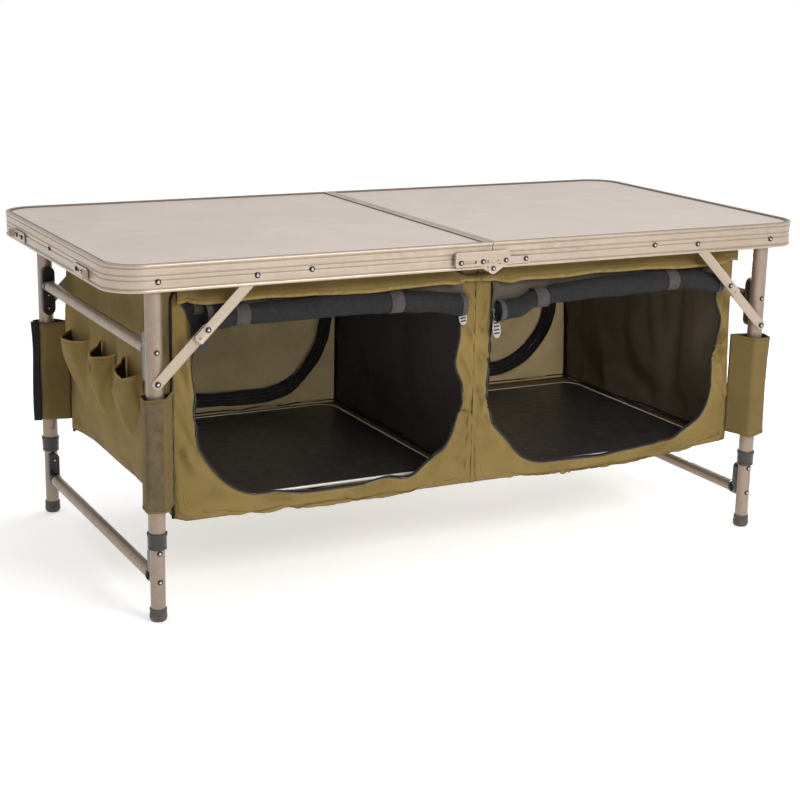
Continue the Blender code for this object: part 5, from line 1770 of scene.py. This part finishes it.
def gusset(cloth, side, body):
    """The strips of door left between the doorway's upper corners and the roll's ends."""
    shape, left = Shape(), side == "left"
    spans = ((0.008, 0.085), (0.972, 0.930)) if left else ((0.046, 0.086), (0.970, 0.920))
    for end, way, (start, stop) in zip(ROLLS[side]["ends"], (1, -1), spans):
        y, z = roll_line(side, end)
        r = between(ROLLS[side]["size"], end)

        def at(u, v, end=end, way=way, start=start, stop=stop, y=y, z=z, r=r):
            edge = cloth.spot(f"{side}_front", start + (stop - start) * v, 0) + Vector((0, -0.0006, 0))
            a = radians(70 - 150 * v)
            rolled = Vector((end + way * 0.004, y + r * 0.7 * cos(a), z + r * 0.9 * sin(a)))
            point = edge.lerp(rolled, u)
            point.y += 0.0035 * sin(pi * u) * sin(9 * v + 2) + 0.002 * sin(tau * u)
            return point

        shape.grid(10, 16, at)
    obj = soft(f"{side}_door_gusset", shape, body, ROLL_CLOTH)


def sleeve_pieces(cloth, side, row, body):
    """A leg wrap with its hems, seams and the strip of hook or loop that closes it."""
    name, label = f"{side}_{row}_sleeve", f"{side}_{row}"
    # The wrap and its hems take the darkened painted-shade olive
    wrap = soft(f"{label}_leg_wrap", cloth.cut(name), body, [SLEEVE_CLOTH_PAINTED_SHADE, LINING],
                node=f"{label}_leg_sleeve")
    line_inside(wrap, cloth, name)
    thread, hems = Shape(), Shape()
    for v, ridge in ((0.955, 0.985), (0.045, 0.015)):
        stitches(thread, *cloth.line(name, (0, v), (1, v), SLEEVE_STEPS * 2, 0.0006))
        band(hems, *cloth.line(name, (0, ridge), (1, ridge), SLEEVE_STEPS * 2, 0.0005), 0.0050, 0.0012)
    extras = [sewing(f"{label}_wrap_stitches", thread, body)]
    extras.append(trim(f"{label}_wrap_hems", hems, body, SLEEVE_CLOTH_PAINTED_SHADE, 50))

    def loop_strip(u, v):
        u, v = 0.325 + 0.165 * u, 0.02 + 0.96 * v
        return cloth.spot(name, u, v) + cloth.normal(name, u, v) * 0.0013

    def hook_strip(u, v):
        x_in, x_out, y = (0.5480, 0.5605, 0.2615) if side == "left" else (0.5500, 0.5620, 0.2700)
        x = x_in + (x_out - x_in) * u + 0.0012 * sin(7 * v) * u
        z = SLEEVE_LOW.z - 0.001 + (SLEEVE_HIGH.z - SLEEVE_LOW.z + 0.004) * v
        return Vector((SIDES[side] * x, y + 0.004 * u + 0.0010 * sin(11 * v + 2), z))

    if label == "left_front":
        strip = Shape().grid(12, 30, loop_strip)
        extras.append(soft(f"{label}_loop_strip", strip, body, LOOP_STRIP, 0.0010))
    if row == "rear":
        strip = Shape().grid(4, 24, hook_strip)
        extras.append(soft(f"{label}_hook_strip", strip, body, HOOK_STRIP, 0.0018))


def tool_pockets(cloth):
    """The pockets and the flat strip beside them are one cloth, sewn to the left end wall."""
    panel, hems, thread = Shape(), Shape(), Shape()
    for index in range(len(MOUTHS)):
        name = f"pocket_{index}"
        panel.join(cloth.cut(name))
        band(hems, *cloth.line(name, (0, 0.992), (1, 0.992), POCKET_STEPS, 0.0002), 0.0042, 0.0020)
        for v in (0.955, 0.030):
            stitches(thread, *cloth.line(name, (0, v), (1, v), POCKET_STEPS * 2, 0.0007))
        for u in (0.012, 0.988):
            stitches(thread, *cloth.line(name, (u, 0.02), (u, 0.97), 30, 0.0007))

    def flat_strip(u, v):
        x = outward("left", 0.3) - 0.0022 - 0.0016 * sin(5 * u + 4 * v)
        z = POCKET_LOW.z + 0.0045 * (1 - u) + (POCKET_HIGH.z - POCKET_LOW.z - 0.006) * v
        return Vector((x, MOUTHS[-1][-1][1] - 0.112 * u, z))

    panel.grid(10, 16, flat_strip)
    sheet = soft("tool_pocket_cloth", panel, "left_top", [OLIVE_CLOTH, LINING],
                 node="tool_pocket_panel")
    line_inside(sheet, cloth, "pocket_0")
    edges = trim("tool_pocket_hems", hems, "left_top", OLIVE_TAPE_AND_HEM_HIGHLIGHT, 50)
    seams = sewing("tool_pocket_stitches", thread, "left_top")


# ---------------------------------------------------------------- camera, light and floor


def camera():
    """Looks down and to the right from the front left, level but for a degree of roll."""
    data = bpy.data.cameras.new("camera")
    data.lens, data.sensor_width = 76.4, 36.0
    data.clip_start, data.clip_end = 0.05, 50
    obj = bpy.data.objects.new("camera", data)
    bpy.context.scene.collection.objects.link(obj)
    yaw, pitch, roll = radians(27.38), radians(14.64), radians(1.16)
    turn = Matrix.Rotation(-yaw, 4, "Z") @ Matrix.Rotation(pi / 2 - pitch, 4, "X")
    turn @= Matrix.Rotation(roll, 4, "Z")
    obj.matrix_world = Matrix.Translation((-1.290, -2.495, 0.946)) @ turn
    bpy.context.scene.camera = obj


def light(name, place, target, size, power, colour=(1, 1, 1)):
    data = bpy.data.lights.new(name, "AREA")
    data.shape, data.size, data.size_y = "RECTANGLE", *size
    data.energy, data.color = power, colour
    obj = bpy.data.objects.new(name, data)
    bpy.context.scene.collection.objects.link(obj)
    obj.visible_camera = False
    place = Vector(place)
    aim = (Vector(target) - place).to_track_quat("-Z", "Y")
    obj.matrix_world = Matrix.Translation(place) @ aim.to_matrix().to_4x4()


def studio():
    bpy.context.scene.view_settings.view_transform = "Standard"
    world = bpy.data.worlds.new("studio")
    bpy.context.scene.world = world
    world.use_nodes = True
    tree = world.node_tree
    sky = tree.nodes["Background"]
    where = tree.nodes.new("ShaderNodeTexCoord")
    parts = tree.nodes.new("ShaderNodeSeparateXYZ")
    tree.links.new(where.outputs["Generated"], parts.inputs[0])
    level = tree.nodes.new("ShaderNodeMapRange")
    level.interpolation_type = "SMOOTHSTEP"
    for socket, value in zip(level.inputs[1:5], (0.06, 0.35, 1.0, 0.62)):
        socket.default_value = value
    tree.links.new(parts.outputs[2], level.inputs[0])
    tree.links.new(level.outputs[0], sky.inputs["Strength"])
    sky.inputs["Color"].default_value = (1.0, 1.0, 1.0, 1.0)
    light("key", (0.25, -1.75, 1.25), (0.05, 0, 0.30), (0.9, 0.6), 19, (1.0, 0.99, 0.97))
    light("top", (0.6, 0.6, 2.6), (0.2, 0, 0.5), (1.8, 1.2), 12)
    light("back", (1.05, 1.10, 0.30), (0.36, 0.25, 0.28), (0.7, 0.36), 8.5)
    s = Shader("floor_pale")
    tone = s.mix(s.noise(2.0, 2), (0.88, 0.88, 0.88), (0.92, 0.92, 0.92))
    s.bsdf.inputs["Emission Color"].default_value = (1.0, 1.0, 1.0, 1.0)
    s.bsdf.inputs["Emission Strength"].default_value = 0.42
    material = s.done(tone, s.span(s.noise(5, 2), 0.3, 0.7, 0.75, 0.85))
    floor = Shape().grid(2, 2, lambda u, v: Vector((40 * u - 20, 40 * v - 20, 0)))
    mesh = floor.mesh("floor", False)
    mesh.materials.append(material)
    obj = bpy.data.objects.new("floor", mesh)
    bpy.context.scene.collection.objects.link(obj)


camera()
studio()
top()
fittings()
handle()
legs()
storage()
